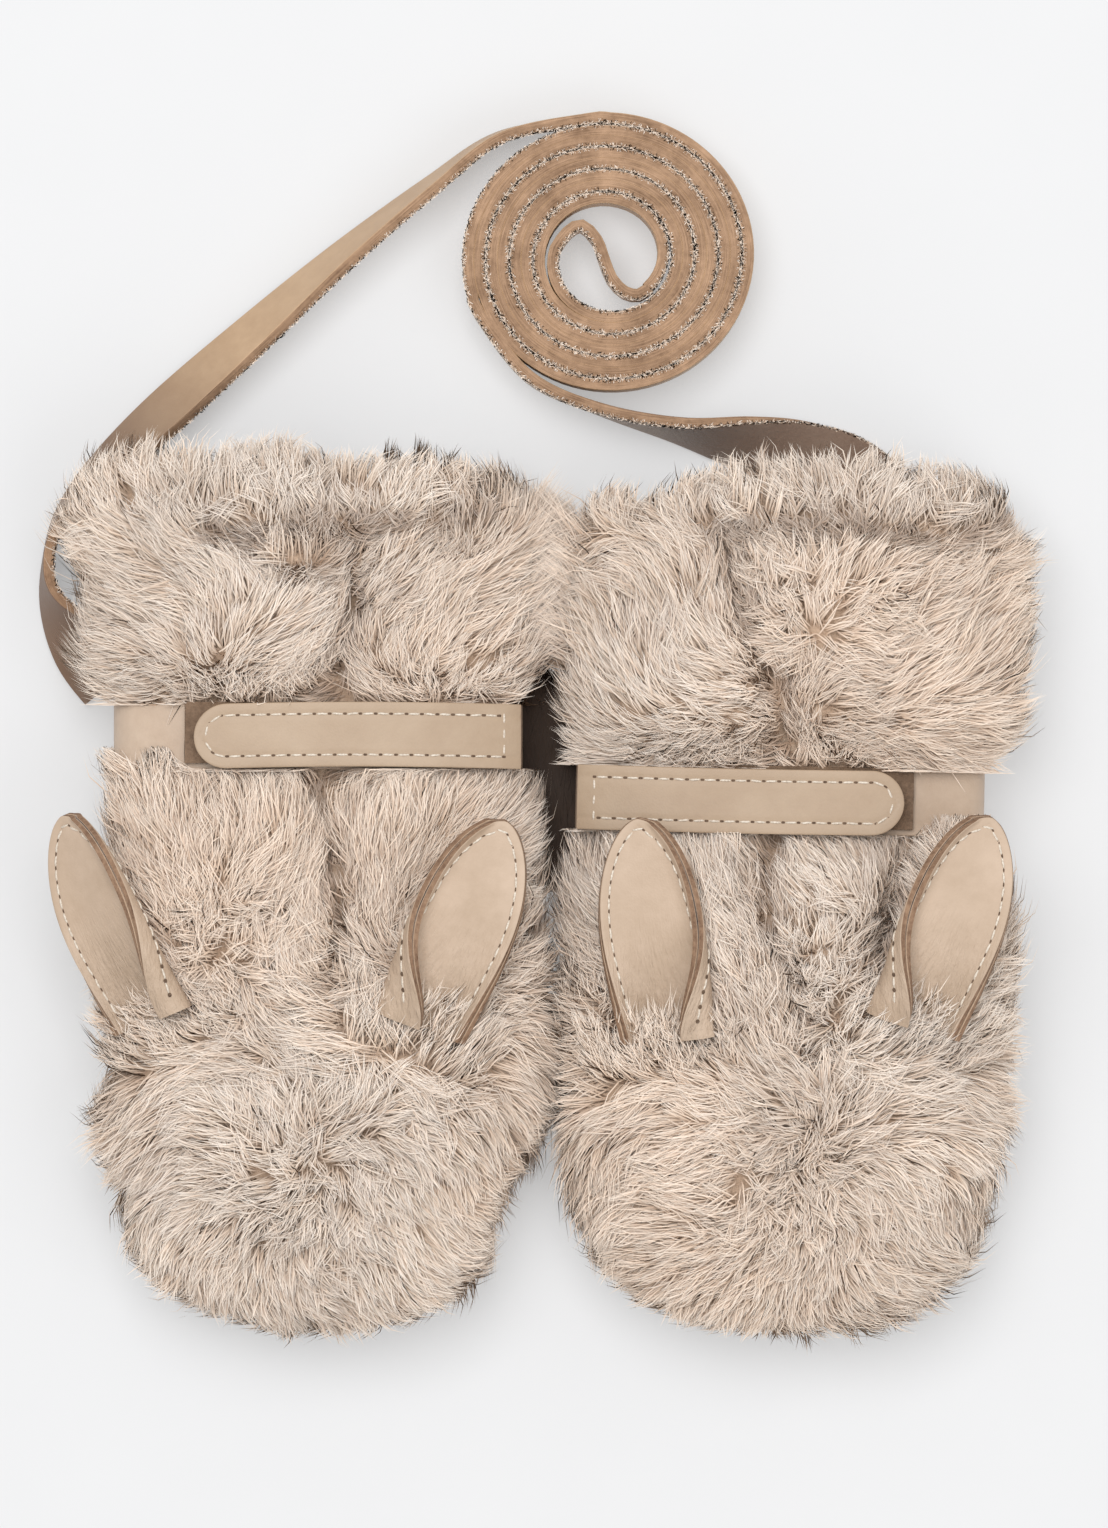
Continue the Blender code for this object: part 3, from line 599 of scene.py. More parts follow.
def shell(m, along, turn):
    """Points on the fur's skin, along the mitten and round it from the +X side over the back."""
    wrist_x, wrist_y = m.wrist
    to_cuff = along > 0
    away = np.where(to_cuff, ease((along - SEAT) / CUFF_RAMP), ease((-along - SEAT) / HAND_RAMP))
    shift = np.where(to_cuff, m.cuff_shift, m.hand_shift) * away
    half = WRIST_HALF + (np.where(to_cuff, CUFF_HALF, HAND_HALF) - WRIST_HALF) * away
    top = WRIST_TOP + (np.where(to_cuff, CUFF_TOP, HAND_TOP) - WRIST_TOP) * away
    bottom = WRIST_BOTTOM + (-SETTLE - WRIST_BOTTOM) * away
    power = WRIST_SQUARENESS + (SOFT_SQUARENESS - WRIST_SQUARENESS) * away
    tight = np.minimum(SKIN_INSET, 0.6 + SKIN_INSET * away)
    into_rim = np.clip((along - (m.cuff_length - RIM)) / RIM, 0.0, 1.0)
    rounding = tight + RIM * (1.0 - np.sqrt(1.0 - into_rim**2)) * 0.7
    half, top, bottom = half - rounding - SIDE_PULL * away, top - rounding, bottom + rounding
    tip_start = TIP_LENGTH - m.hand_length + TIP_PULL
    into_tip = np.clip((tip_start - along) / (TIP_LENGTH - SKIN_INSET), 0.0, 1.0)
    taper = np.maximum(1.0 - into_tip**TIP_ROUNDNESS, 0.0) ** (1 / TIP_ROUNDNESS)
    middle = (top + bottom) / 2
    across = np.sign(np.cos(turn)) * np.abs(np.cos(turn)) ** (2 / power)
    up = np.sign(np.sin(turn)) * np.abs(np.sin(turn)) ** (2 / power)
    x = wrist_x + shift + half * taper * across
    z = middle + (top - bottom) / 2 * taper * up
    points = np.stack(np.broadcast_arrays(x, wrist_y + along, z), axis=-1)
    outward = unit(np.stack(np.broadcast_arrays(np.cos(turn), 0.0 * along, np.sin(turn)), axis=-1))
    return points, outward, away


def crease_share(m, points):
    """How deep in a crease or the hem each point lies, from 0 to 1, and the depth to press it."""
    x, y = points[..., 0], points[..., 1]
    on_back = ease((points[..., 2] - 13.0) / 10.0)
    press = np.zeros(x.shape)
    share = np.zeros(x.shape)
    lines = [*m.creases, (HEM_DEPTH, HEM_WIDTH, m.hem)]
    for depth, width, line in lines:
        near = np.exp(-((line_offset(x, y, line)[1] / width) ** 2)) * on_back
        press = np.maximum(press, depth * near)
        share = np.maximum(share, near * min(depth / 6.0, 1.0))
    return share, press


def sculpt(m, points, outward, away):
    """Lumps, creases, the hem and tucks, pressed into the smooth shell."""
    _, press = crease_share(m, points)
    lumps = waves(points, 20.0, 3 if m.side < 0 else 4) * 1.7 + waves(points, 9.0, 5) * 0.55
    move = (lumps - press) * np.clip(away, 0.0, 1.0)
    for x, y, radius, depth in m.tucks:
        near = np.hypot(points[..., 0] - x, points[..., 1] - y) / radius
        move -= depth * np.exp(-(near**2))
    moved = points + outward * move[..., None]
    moved[..., 2] = np.maximum(moved[..., 2], FLOOR_CLEARANCE)
    return moved


AROUND_COUNT = 96
FLOOR_CLEARANCE, MOUTH_FLOOR = 0.6, 6.4  # lowest the backing and the facing's inside go


def skin_rows(m):
    """Places along the mitten, mouth to fingertip, closer together where the shape turns."""
    tip_start = TIP_LENGTH - m.hand_length + TIP_PULL
    straight = np.linspace(m.cuff_length, tip_start, 84)
    reach = TIP_LENGTH - SKIN_INSET
    round_end = tip_start - reach * np.sin(np.linspace(0, math.pi / 2 * 0.985, 34)[1:])
    return np.concatenate([straight, round_end])


def add_skin(m):
    """The knitted backing that the pile grows on, turned in at the mouth as the facing."""
    along = skin_rows(m)[:, None]
    turn = (np.arange(AROUND_COUNT) * 2 * math.pi / AROUND_COUNT)[None, :]
    outside = follow_mouth(m, sculpt(m, *shell(m, along, turn)))
    inside_along = np.linspace(m.cuff_length - 0.5, m.cuff_length - FACING_DEPTH, 12)[:, None]
    within, _, _ = shell(m, inside_along, turn)
    middle = within.mean(axis=1, keepdims=True)
    spread = np.clip((m.cuff_length - inside_along) / 4.0, 0.0, 1.0)[..., None]
    within = within - unit(within - middle) * FACING_WALL * np.sqrt(spread)
    within[..., 2] = np.maximum(within[..., 2], MOUTH_FLOOR)
    within = follow_mouth(m, within)
    rows = np.concatenate([within[::-1], outside])
    points = rows.reshape(-1, 3)
    tip = np.append(points, [rows[-1].mean(axis=0)], axis=0)
    last = (len(rows) - 1) * AROUND_COUNT
    around = np.arange(AROUND_COUNT)
    onward, middle_point = (around + 1) % AROUND_COUNT, np.full(AROUND_COUNT, len(points))
    cap = np.stack([last + around, middle_point, last + onward], axis=-1)
    faces = grid_faces(len(rows), AROUND_COUNT, close=True)
    made = make_mesh(f"{m.name}_fur_backing", tip, [(faces, 0), (cap, 0)], [SKIN])
    nodes = [f"{m.name}_{word}" for word in ("back_fur", "palm_fur", "cuff_facing")]
    settle_piece(made, "mittens", "fur", nodes)
    return rows, len(within)


def scatter(rows, per_square, random):
    """Spots spread evenly over a closed grid surface, with the outward direction at each."""
    faces = grid_faces(len(rows), rows.shape[1], close=True)
    points = rows.reshape(-1, 3)
    down = np.gradient(rows, axis=0)
    across = (np.roll(rows, -1, axis=1) - np.roll(rows, 1, axis=1)) / 2
    normals = unit(np.cross(across, down)).reshape(-1, 3)
    a, b, c, d = (points[faces[:, k]] for k in range(4))
    area = sum(np.linalg.norm(np.cross(one - a, two - a), axis=1) / 2 for one, two in ((b, c), (c, d)))
    count = int(area.sum() * per_square)
    chosen = random.choice(len(faces), count, p=area / area.sum())
    u, v = random.random(count)[:, None], random.random(count)[:, None]
    weights = ((1 - u) * (1 - v), u * (1 - v), u * v, (1 - u) * v)
    spots = sum(w * points[faces[chosen, k]] for k, w in enumerate(weights))
    outward = unit(sum(w * normals[faces[chosen, k]] for k, w in enumerate(weights)))
    return spots, outward


NO_CROWN = 99.0  # distance given where no crown is near
FAR_FROM_CROWN = 20.0  # where a little more of the pile stands up
CROWN_REACH, CREASE_REACH = 26.0, 5.0  # how far a crown and a crease turn the pile
TIP_LIE, CUFFWARD_LIE = -0.12, 0.16  # the pile's lean along the mitten, at the tip and above it


def comb(m, spots, outward):
    """The way the pile lies at each spot, and how far it is from its nearest crown."""
    wrist_y = m.wrist[1]
    lie = np.zeros_like(spots)
    nearest = np.full(len(spots), NO_CROWN)
    for x, y, strength in m.crowns:
        same_part = (spots[:, 1] > wrist_y) == (y > wrist_y - 4.0)
        away = spots[:, :2] - (x, y)
        distance = np.linalg.norm(away, axis=1)
        pull = strength * np.exp(-((distance / CROWN_REACH) ** 2)) / (distance + 3.0) * same_part
        lie[:, :2] += away * pull[:, None]
        nearest = np.where(same_part, np.minimum(nearest, distance / strength), nearest)
    for depth, _, line in m.creases:
        offset, distance = line_offset(spots[:, 0], spots[:, 1], line)
        part = 0.035 * depth * np.exp(-((distance / CREASE_REACH) ** 2)) / np.maximum(distance, 0.5)
        lie[:, :2] += offset * part[:, None]
    centre_x = m.wrist[0] + m.hand_shift
    below = spots[:, 1] < wrist_y - 60.0
    lie[:, 1] += np.where(below, TIP_LIE, CUFFWARD_LIE)
    lie[:, 0] += (spots[:, 0] - centre_x) * 0.006
    swirl = waves(spots, 15.0, 21 + m.side) * 0.75 + waves(spots, 7.0, 31) * 0.3
    c, s = np.cos(swirl), np.sin(swirl)
    lie = np.stack([lie[:, 0] * c - lie[:, 1] * s, lie[:, 0] * s + lie[:, 1] * c, lie[:, 2]], axis=1)
    lie -= outward * np.sum(lie * outward, axis=1, keepdims=True)
    return unit(lie), nearest


def lift_clear(points, covers):
    """Keeps hairs beneath the ears that lie over them."""
    for low_corner, cell, under in covers:
        column = ((points[..., 0] - low_corner[0]) / cell).astype(int)
        row = ((points[..., 1] - low_corner[1]) / cell).astype(int)
        inside = (column >= 0) & (row >= 0) & (column < under.shape[0]) & (row < under.shape[1])
        limit = np.full(points.shape[:-1], 1e9)
        limit[inside] = under[column[inside], row[inside]]
        points[..., 2] = np.minimum(points[..., 2], limit)
    return points


def keep_off_strap(m, points):
    """Packs hairs that would cross the wrist strap up against its edges."""
    wrist_x, wrist_y = m.wrist
    slope = math.tan(math.radians(m.turn))
    along = points[..., 1] - wrist_y - (points[..., 0] - wrist_x) * slope
    out = m.side * (points[..., 0] - wrist_x)
    bare = ease((out - 25.0) / 3.0)
    edge = STRAP_WIDTH / 2 - 0.1 - 4.2 * bare * (along < 0)
    inside = np.abs(along) < edge
    across = np.minimum(np.abs(out) / WRIST_HALF, 1.0)
    rounded = np.maximum(1.0 - across**WRIST_SQUARENESS, 0.0) ** (1 / WRIST_SQUARENESS)
    wrist_face = (WRIST_TOP + WRIST_BOTTOM) / 2 + (WRIST_TOP - WRIST_BOTTOM) / 2 * rounded
    band_top = wrist_face + BAND_RISE + BAND_WALL + 0.3
    over = (np.abs(along) < STRAP_WIDTH / 2) & (bare > 0.0)
    points[..., 2] = np.where(over, np.maximum(points[..., 2], band_top), points[..., 2])
    side = np.sign(along[..., :1])
    pushed = side * (edge + np.abs(np.abs(along) - edge) * 0.12)
    points[..., 1] += np.where(inside | (np.sign(along) != side), pushed - along, 0.0)
    return points


HAIR_STEPS = np.array([0.0, 0.3, 0.62, 1.0])
HAIR_WIDTHS = np.array([0.28, 0.28, 0.2, 0.0])
HAIR_TONE = 0.70  # middle of the tones, from 0 at the darkest to 1
CROWN_SPREAD = 15.0  # how far from a crown hairs still stand up
LIFT, SIDE_LIFT_LOSS, CROWN_LIFT, FREE_LIFT = 27.0, 13.0, 22.0, 22.0  # degrees from lying flat
LOCK_ACROSS, LOCK_ALONG = 0.85, 0.95  # how far apart a lock's roots stand
ROOT_DEPTH = 0.35
SHADE_UPWARD = 0.75  # how much hairs are lit as if they faced up


def grow_hairs(
    m, spots, outward, lie, nearest, per_lock, length, random, covers, dark=0.0, cool=0.0, free=None
):
    """Locks of hairs: each hair's four places, width direction, tone column and shading direction.

    nearest is the distance to a crown, where hairs stand up; free marks the locks that may lie over an
    ear; dark and cool shift the tone and hue, dark as painted shade, or as painted light where it is under
    nought.
    """
    count = len(spots)
    crease, _ = crease_share(m, spots)
    upright = np.exp(-((nearest / CROWN_SPREAD) ** 2))
    lock_length = length * random.uniform(0.8, 1.18, count) * (1.0 + 0.14 * waves(spots, 22.0, 41))
    lock_length *= (1.0 - 0.45 * crease) * (1.0 - 0.18 * upright)
    degrees = LIFT - SIDE_LIFT_LOSS * np.abs(outward[:, 0]) ** 3 + CROWN_LIFT * upright
    lock_lift = np.radians(degrees + random.normal(0, 7.0, count))
    if free is not None:
        lock_lift = lock_lift + np.radians(FREE_LIFT) * free
    lock_tone = HAIR_TONE + 0.12 * waves(spots, 12.0, 51) + random.normal(0, 0.1, count)
    # painted shade: tones go down in creases and along the hem; a little darker where hairs stand up at a
    # crown
    lock_tone -= crease + 0.05 * upright + dark
    spin = random.normal(0, 1.0, count) * (0.18 + 0.75 * upright)
    side = np.cross(outward, lie)
    lie = unit(lie * np.cos(spin)[:, None] + side * np.sin(spin)[:, None])
    side = np.cross(outward, lie)
    lock = np.repeat(np.arange(count), per_lock)
    total = len(lock)
    root_across = random.normal(0, LOCK_ACROSS, total)
    root_along = random.normal(0, LOCK_ALONG, total)
    gather = random.uniform(0.35, 0.8, total)
    stretch = random.uniform(0.72, 1.1, total) * lock_length[lock]
    lift = lock_lift[lock] + random.normal(0, 0.13, total)
    root = spots[lock] + side[lock] * root_across[:, None] + lie[lock] * root_along[:, None]
    root -= outward[lock] * ROOT_DEPTH
    reach = lie[lock] * (np.cos(lift) * stretch - root_along * gather)[:, None]
    reach -= side[lock] * (root_across * gather)[:, None]
    reach += side[lock] * (random.normal(0, 0.07, total) * stretch)[:, None]
    rise = outward[lock] * (np.sin(lift) * stretch)[:, None]
    sway = side[lock] * (random.normal(0, 0.05, total) * stretch)[:, None]
    s = HAIR_STEPS[None, :, None]
    bend = 2 * s * (1 - s)
    points = root[:, None] + reach[:, None] * s**1.35 + rise[:, None] * (0.55 * bend + s)
    points += sway[:, None] * bend * 2
    points[..., 2] = np.maximum(points[..., 2], 0.12 + 0.25 * random.random(total)[:, None])
    if covers:
        points = keep_off_strap(m, points)
    beneath = lift_clear(points.copy(), covers)
    points = beneath if free is None else np.where(free[lock][:, None, None], points, beneath)
    tangent = unit(points[:, -1] - points[:, 0])
    facing = outward[lock] + random.normal(0, 0.35, (total, 3))
    width_way = unit(np.cross(tangent, facing))
    tone = np.clip(lock_tone[lock] + random.normal(0, 0.12, total), 0.0, 0.999)
    lock_hue = 0.35 + cool + 0.3 * waves(spots, 30.0, 61)
    hue = np.clip(lock_hue[lock] + random.normal(0, 0.22, total), 0.0, 0.999)
    column = np.floor(hue * HUES) * TONES + np.floor(tone * TONES)
    shade = unit(outward[lock] + (0.0, 0.0, SHADE_UPWARD) + random.normal(0, 0.16, (total, 3)))
    return points, width_way, column, shade


def add_pile(name, hairs, widths=HAIR_WIDTHS, finish=FUR):
    """One object of tapered flat hairs."""
    points, width_way, column, shade = hairs
    total = len(points)
    offset = width_way[:, None] * (widths / 2)[None, :-1, None]
    left, right = points[:, :-1] - offset, points[:, :-1] + offset
    steps = left.shape[1]
    sides = np.stack([left, right], axis=2).reshape(total, steps * 2, 3)
    corners = np.concatenate([sides, points[:, -1:]], axis=1)
    first = np.arange(total)[:, None] * (steps * 2 + 1)
    quads = [first + np.array([[2 * k, 2 * k + 1, 2 * k + 3, 2 * k + 2]]) for k in range(steps - 1)]
    tips = first + np.array([[2 * steps - 2, 2 * steps - 1, 2 * steps]])
    normals = np.repeat(shade, steps * 2 + 1, axis=0)
    groups = [(np.concatenate(quads), 0), (tips, 0)]
    made = make_mesh(name, corners.reshape(-1, 3), groups, [finish], normals)
    cell = 1.0 / (TONES * HUES)
    start = (column * cell)[:, None]
    across = np.concatenate([np.tile([0.08, 0.92], steps), [0.5]])[None, :]
    along = np.concatenate([np.repeat(HAIR_STEPS[:-1], 2), [1.0]])[None, :]
    along = np.broadcast_to(along * 0.98 + 0.01, (total, steps * 2 + 1))
    lay = np.stack([start + across * cell, along], axis=-1)
    set_lay(made, "OFBake", lay.reshape(-1, 2))
    return settle_piece(made, "mittens", "fur")


HAIRS_EACH = 36000
# Locks to the square millimetre, hairs to a lock, and hair lengths
BODY_LOCKS, FACING_LOCKS, THUMB_LOCKS = 0.46, 0.2, 0.22
BODY_HAIRS, SHORT_HAIRS = 14, 9
BODY_LENGTH, HEM_LENGTH, FACING_LENGTH, THUMB_LENGTH, GAP_LENGTH = 9.6, 9.2, 7.5, 6.0, 14.0


def add_pile_pieces(name, hairs):
    """Splits hairs from cuff to fingertip into objects of a size that keeps every hair."""
    order = np.argsort(-hairs[0][:, 0, 1], kind="stable")
    parts = max(math.ceil(len(order) / HAIRS_EACH), 1)
    for k, chosen in enumerate(np.array_split(order, parts)):
        add_pile(f"{name}_{k + 1}", [values[chosen] for values in hairs])


def add_mitten_fur(m, covers):
    """Backing and pile of a mitten, combed over its hem, its creases and the ears' roots."""
    rows, inner_rows = add_skin(m)
    outer = rows[inner_rows:]
    random = np.random.default_rng(100 + m.side)
    wrist_y = m.wrist[1]
    spots, outward = scatter(outer, BODY_LOCKS, random)
    along = spots[:, 1] - wrist_y - (spots[:, 0] - m.wrist[0]) * math.tan(math.radians(m.turn))
    keep = np.abs(along) > STRAP_WIDTH / 2 + 0.2
    back = outward[:, 2] > -0.35
    thin = random.random(len(spots)) < 0.5
    spots, outward = (a[keep & (back | thin)] for a in (spots, outward))
    lie, nearest = comb(m, spots, outward)
    hem_y = np.interp(spots[:, 0], [p[0] for p in m.hem], [p[1] for p in m.hem])
    above_hem = spots[:, 1] > hem_y
    roll = np.tile([0.0, 1.0, 0.0], (len(spots), 1))
    roll[:, 0] += (spots[:, 0] - m.wrist[0]) * 0.002
    roll[:, 0] += waves(spots, 14.0, 71) * 0.3
    roll -= outward * np.sum(roll * outward, axis=1, keepdims=True)
    lie = np.where(above_hem[:, None], unit(roll + lie * 0.2), lie)
    nearest = np.where(above_hem, 12.0, nearest)
    free = np.zeros(len(spots), bool)
    for word in ("outer", "inner"):
        root, sideways, lengthways, _ = ear_frame(f"{m.name}_{word}_ear")
        ahead, aside = (spots - root) @ lengthways, (spots - root) @ sideways
        tuft = (ahead > -8.0) & (ahead < 2.5 - 0.01 * aside**2) & (np.abs(aside) < 13.0)
        tuft &= outward[:, 2] > 0.1
        lie = np.where(tuft[:, None], unit(lengthways + lie * 0.25), lie)
        nearest = np.where(tuft, 18.0, nearest)
        free |= tuft
    inner_x = -m.side * (spots[:, 0] - m.wrist[0])
    in_crease, _ = crease_share(m, spots)
    dropped = (in_crease > 0.8) & (random.random(len(spots)) < 0.75)
    # painted light and shade: hairs on the inner side by the gap between the mittens are toned darker, hairs
    # low by the floor lighter
    gap = np.exp(-(((inner_x - 40.0) / 5.0) ** 2)) * (spots[:, 1] < 20.0) * (spots[:, 1] > -95.0)
    low = np.clip((14.0 - spots[:, 2]) / 14.0, 0.0, 1.0)
    length = np.where(above_hem, HEM_LENGTH, BODY_LENGTH)
    length *= np.where(spots[:, 1] < wrist_y - 75.0, 0.85, 1.0)
    dark, cool = 0.3 * gap - 0.08 * low, np.where(above_hem, 0.3, 0.0)
    values = (spots, outward, lie, nearest, length, dark, cool, free)
    spots, outward, lie, nearest, length, dark, cool, free = (v[~dropped] for v in values)
    locks = (spots, outward, lie, nearest, BODY_HAIRS, length)
    hairs = grow_hairs(m, *locks, random, covers, dark, cool, free)
    add_pile_pieces(f"{m.name}_pile", hairs)
    add_mouth_pile(m, rows[:inner_rows], random, covers)


def add_mouth_pile(m, rows, random, covers):
    """Pile on the turned-in facing, lying towards the mouth."""
    spots, outward = scatter(rows, FACING_LOCKS, random)
    lie = np.tile([0.0, 1.0, 0.0], (len(spots), 1))
    far, length = np.full(len(spots), FAR_FROM_CROWN), np.full(len(spots), FACING_LENGTH)
    # tone pushed down by 0.15 as painted shade on the facing turned in at the mouth
    hairs = grow_hairs(m, spots, outward, lie, far, SHORT_HAIRS, length, random, covers, 0.15, 0.1)
    add_pile(f"{m.name}_mouth_pile", hairs)


WRIST_GAP_LOCKS, CUFF_GAP_LOCKS = 1500, 900
WRIST_GAP_CEILING, CUFF_GAP_CEILING = 11.0, 25.0


def add_gap_pile():
    """Pile that meets in the gap between the mittens, with painted shade: near black between the wrists,
    lighter between the cuffs.
    """
    random = np.random.default_rng(300)
    count = WRIST_GAP_LOCKS
    from_below = random.random(count) < 0.6
    x = random.uniform(-7.0, 14.0, count)
    y = np.where(from_below, random.uniform(-31.0, -19.0, count), random.uniform(-4.0, 9.0, count))
    z = random.uniform(2.0, 9.0, count)
    way = np.where(from_below, 1.0, -1.0)
    way = (random.normal(0, 0.25, count), way)
    grow_gap_pile("wrist_gap_pile", (x, y, z), way, WRIST_GAP_CEILING, random, SHADED_GAP_FUR, 0.0)
    count = CUFF_GAP_LOCKS
    from_left = random.random(count) < 0.5
    x = np.where(from_left, random.normal(-4.5, 1.2, count), random.normal(9.5, 1.2, count))
    y, z = random.uniform(9.0, 34.0, count), random.uniform(4.0, 19.0, count)
    aside = np.where(from_left, 1.0, -1.0) + random.normal(0, 0.3, count)
    way = (aside, np.full(count, 0.8))
    # tones pushed down by 0.34 as painted shade where the cuffs meet
    grow_gap_pile("cuff_gap_pile", (x, y, z), way, CUFF_GAP_CEILING, random, FUR, 0.34)


def grow_gap_pile(name, spots, way, ceiling, random, finish, dark):
    """Pile with its roots at the spots, leaning along way, none of it over the ceiling."""
    count = len(spots[0])
    outward = np.tile([0.0, 0.0, 1.0], (count, 1))
    lie = unit(np.stack([*way, np.zeros(count)], axis=-1))
    far, length = np.full(count, NO_CROWN), np.full(count, GAP_LENGTH)
    locks = (np.stack(spots, axis=-1), outward, lie, far, BODY_HAIRS, length)
    hairs = grow_hairs(LEFT, *locks, random, [], dark)
    hairs[0][..., 2] = np.clip(hairs[0][..., 2], 0.4, ceiling)
    add_pile(name, hairs, finish=finish)


THUMB_ROWS, THUMB_AROUND, THUMB_ROUNDNESS = 34, 40, 2.2


def add_thumb(m, covers):
    """The thumb under the palm, as a short fur finger of its own."""
    low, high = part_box(f"{m.name}_thumb_fur")
    centre = (np.array(low) + np.array(high)) / 2 / MM
    half = (np.array(high) - np.array(low)) / 2 / MM - (1.6, 1.0, 1.4)
    share = np.linspace(1.0, -1.0, THUMB_ROWS)[:, None]
    turn = (np.arange(THUMB_AROUND) * 2 * math.pi / THUMB_AROUND)[None, :]
    end = np.clip((-share - 0.1) / 0.9, 0.0, 1.0)
    taper = np.maximum(1.0 - end**THUMB_ROUNDNESS, 0.0) ** (1 / THUMB_ROUNDNESS) * 0.999 + 0.001
    x = centre[0] + half[0] * taper * np.cos(turn)
    z = centre[2] + half[2] * taper * np.sin(turn)
    y = centre[1] + half[1] * share + 0.0 * turn
    rows = np.stack(np.broadcast_arrays(x, y, z), axis=-1)
    rows[..., 2] = np.maximum(rows[..., 2], 0.5)
    faces = grid_faces(*rows.shape[:2], close=True)
    made = make_mesh(f"{m.name}_thumb_backing", rows.reshape(-1, 3), [(faces, 0)], [SKIN])
    settle_piece(made, "mittens", "fur", [f"{m.name}_thumb_fur"])
    random = np.random.default_rng(200 + m.side)
    spots, outward = scatter(rows, THUMB_LOCKS, random)
    lie = np.tile([0.0, -1.0, 0.0], (len(spots), 1)) + waves(spots, 9.0, 81)[:, None] * (0.4, 0.0, 0.2)
    lie = unit(lie - outward * np.sum(lie * outward, axis=1, keepdims=True))
    far, length = np.full(len(spots), FAR_FROM_CROWN), np.full(len(spots), THUMB_LENGTH)
    # tone pushed down by 0.15 as painted shade on the thumb tucked under the palm
    hairs = grow_hairs(m, spots, outward, lie, far, SHORT_HAIRS, length, random, covers, 0.15)
    add_pile(f"{m.name}_thumb_pile", hairs)


# ---------------------------------------------------------------- leather


NEAR_EDGE = np.array([0.0, 0.1, 0.28, 0.6, 1.1, 1.6, 2.0, 2.4, 2.9, 3.6])  # rows of points, from the edge
FULL_MARGIN_HALF = 6.0  # half width from which on the rows near the edge keep their distance
GROOVE_DEPTH, GROOVE_WIDTH = 0.16, 0.4
UNDER_ROUNDING = (0.13, 0.1)  # depth at the edge, and how far in it fades
NECK_BEVEL = (0.3, 0.25)
SHARP_ANGLE = math.radians(50)


def add_leaf(
    name, surface, lengths, half_widths, wall, finishes, body, slot, nodes, groove=0.0, columns=9, bevel=None
):
    """A flat leather piece on a curved surface: surface(along, across, height) gives its points.

    Its face is pressed in along the stitch line, groove from the edge, and rounded at its edges by the
    bevel's depth and reach. finishes are those of its face, its cut edge and its underside.
    """
    across = []
    for half in half_widths:
        edge = half - NEAR_EDGE * min(half / FULL_MARGIN_HALF, 1.0)
        middle = np.linspace(-1, 1, columns + 2)[1:-1] * edge[-1]
        across.append(np.concatenate([-edge, middle, edge[::-1]]))
    across = np.array(across)
    along = np.repeat(lengths[:, None], across.shape[1], axis=1)
    slope = np.abs(np.gradient(half_widths) / np.maximum(np.gradient(lengths), 1e-6))
    inside = (half_widths[:, None] - np.abs(across)) / np.sqrt(1.0 + np.minimum(slope, 6.0)[:, None] ** 2)
    inside = np.maximum(inside, 0.0)
    roundings = (UNDER_ROUNDING, bevel or UNDER_ROUNDING)
    under, bevelled = (depth * np.exp(-inside / reach) for depth, reach in roundings)
    press = GROOVE_DEPTH * np.exp(-(((inside - groove) / GROOVE_WIDTH) ** 2)) if groove else 0.0
    top = surface(along, across, wall - bevelled - press)
    under = surface(along, across, under)
    rows, count = across.shape
    points = np.concatenate([top.reshape(-1, 3), under.reshape(-1, 3)])
    below = rows * count
    face = grid_faces(rows, count)
    back = grid_faces(rows, count, below)[:, ::-1]
    walls = []
    for column, flip in ((0, 1), (count - 1, -1)):
        here = np.arange(rows - 1) * count + column
        walls.append(np.stack([here, here + count, here + count + below, here + below], axis=-1)[:, ::flip])
    for row, flip in ((0, -1), (rows - 1, 1)):
        here = row * count + np.arange(count - 1)
        walls.append(np.stack([here, here + 1, here + 1 + below, here + below], axis=-1)[:, ::flip])
    middle = face[len(face) // 2]
    one, two, _, four = points[middle]
    faces_outward = np.dot(np.cross(two - one, four - one), one - points[middle[0] + below]) > 0
    order = 1 if faces_outward else -1
    faces = [(part[:, ::order], k) for k, part in enumerate((face, np.concatenate(walls), back))]
    made = make_mesh(name, points, faces, finishes)
    lay = np.stack([along, across], axis=-1).reshape(-1, 2)
    set_lay(made, "Lay", np.concatenate([lay + (0.0, wall), lay]))
    made.data.set_sharp_from_angle(angle=SHARP_ANGLE)
    return settle_piece(made, body, slot, nodes)


def inset_line(lengths, half_widths, inset, open_ends):
    """A stitch line inside an outline: up one side, over the far end and back down the other."""
    side = np.stack([lengths, half_widths], axis=-1)
    outline = np.concatenate([side, (side * (1, -1))[::-1]])
    run = np.gradient(outline, axis=0)
    inward = unit(np.stack([run[:, 1], -run[:, 0]], axis=-1))
    line = outline + inward * inset
    start = lengths[0] + (0.0 if open_ends else inset)
    safe = (line[:, 0] >= start) & (np.abs(line[:, 1]) <= half_widths.max() - inset + 0.02)
    for k, spot in enumerate(line):
        gap = np.linalg.norm(outline - spot, axis=1).min()
        safe[k] &= gap > inset * 0.93
    line = line[safe]
    if not open_ends:
        line = np.concatenate([line, line[:1]])
    return line


def even_spots(line, pitch):
    """Spots a pitch apart on a line, and the line's direction at each."""
    lengths = np.concatenate([[0.0], np.cumsum(np.linalg.norm(np.diff(line, axis=0), axis=1))])
    count = max(round(lengths[-1] / pitch), 2)
    goal = (np.arange(count) + 0.5) * lengths[-1] / count
    spots = np.stack([np.interp(goal, lengths, line[:, k]) for k in range(2)], axis=-1)
    ahead = np.stack([np.interp(goal + 0.2, lengths, line[:, k]) for k in range(2)], axis=-1)
    behind = np.stack([np.interp(goal - 0.2, lengths, line[:, k]) for k in range(2)], axis=-1)
    return spots, unit(ahead - behind)


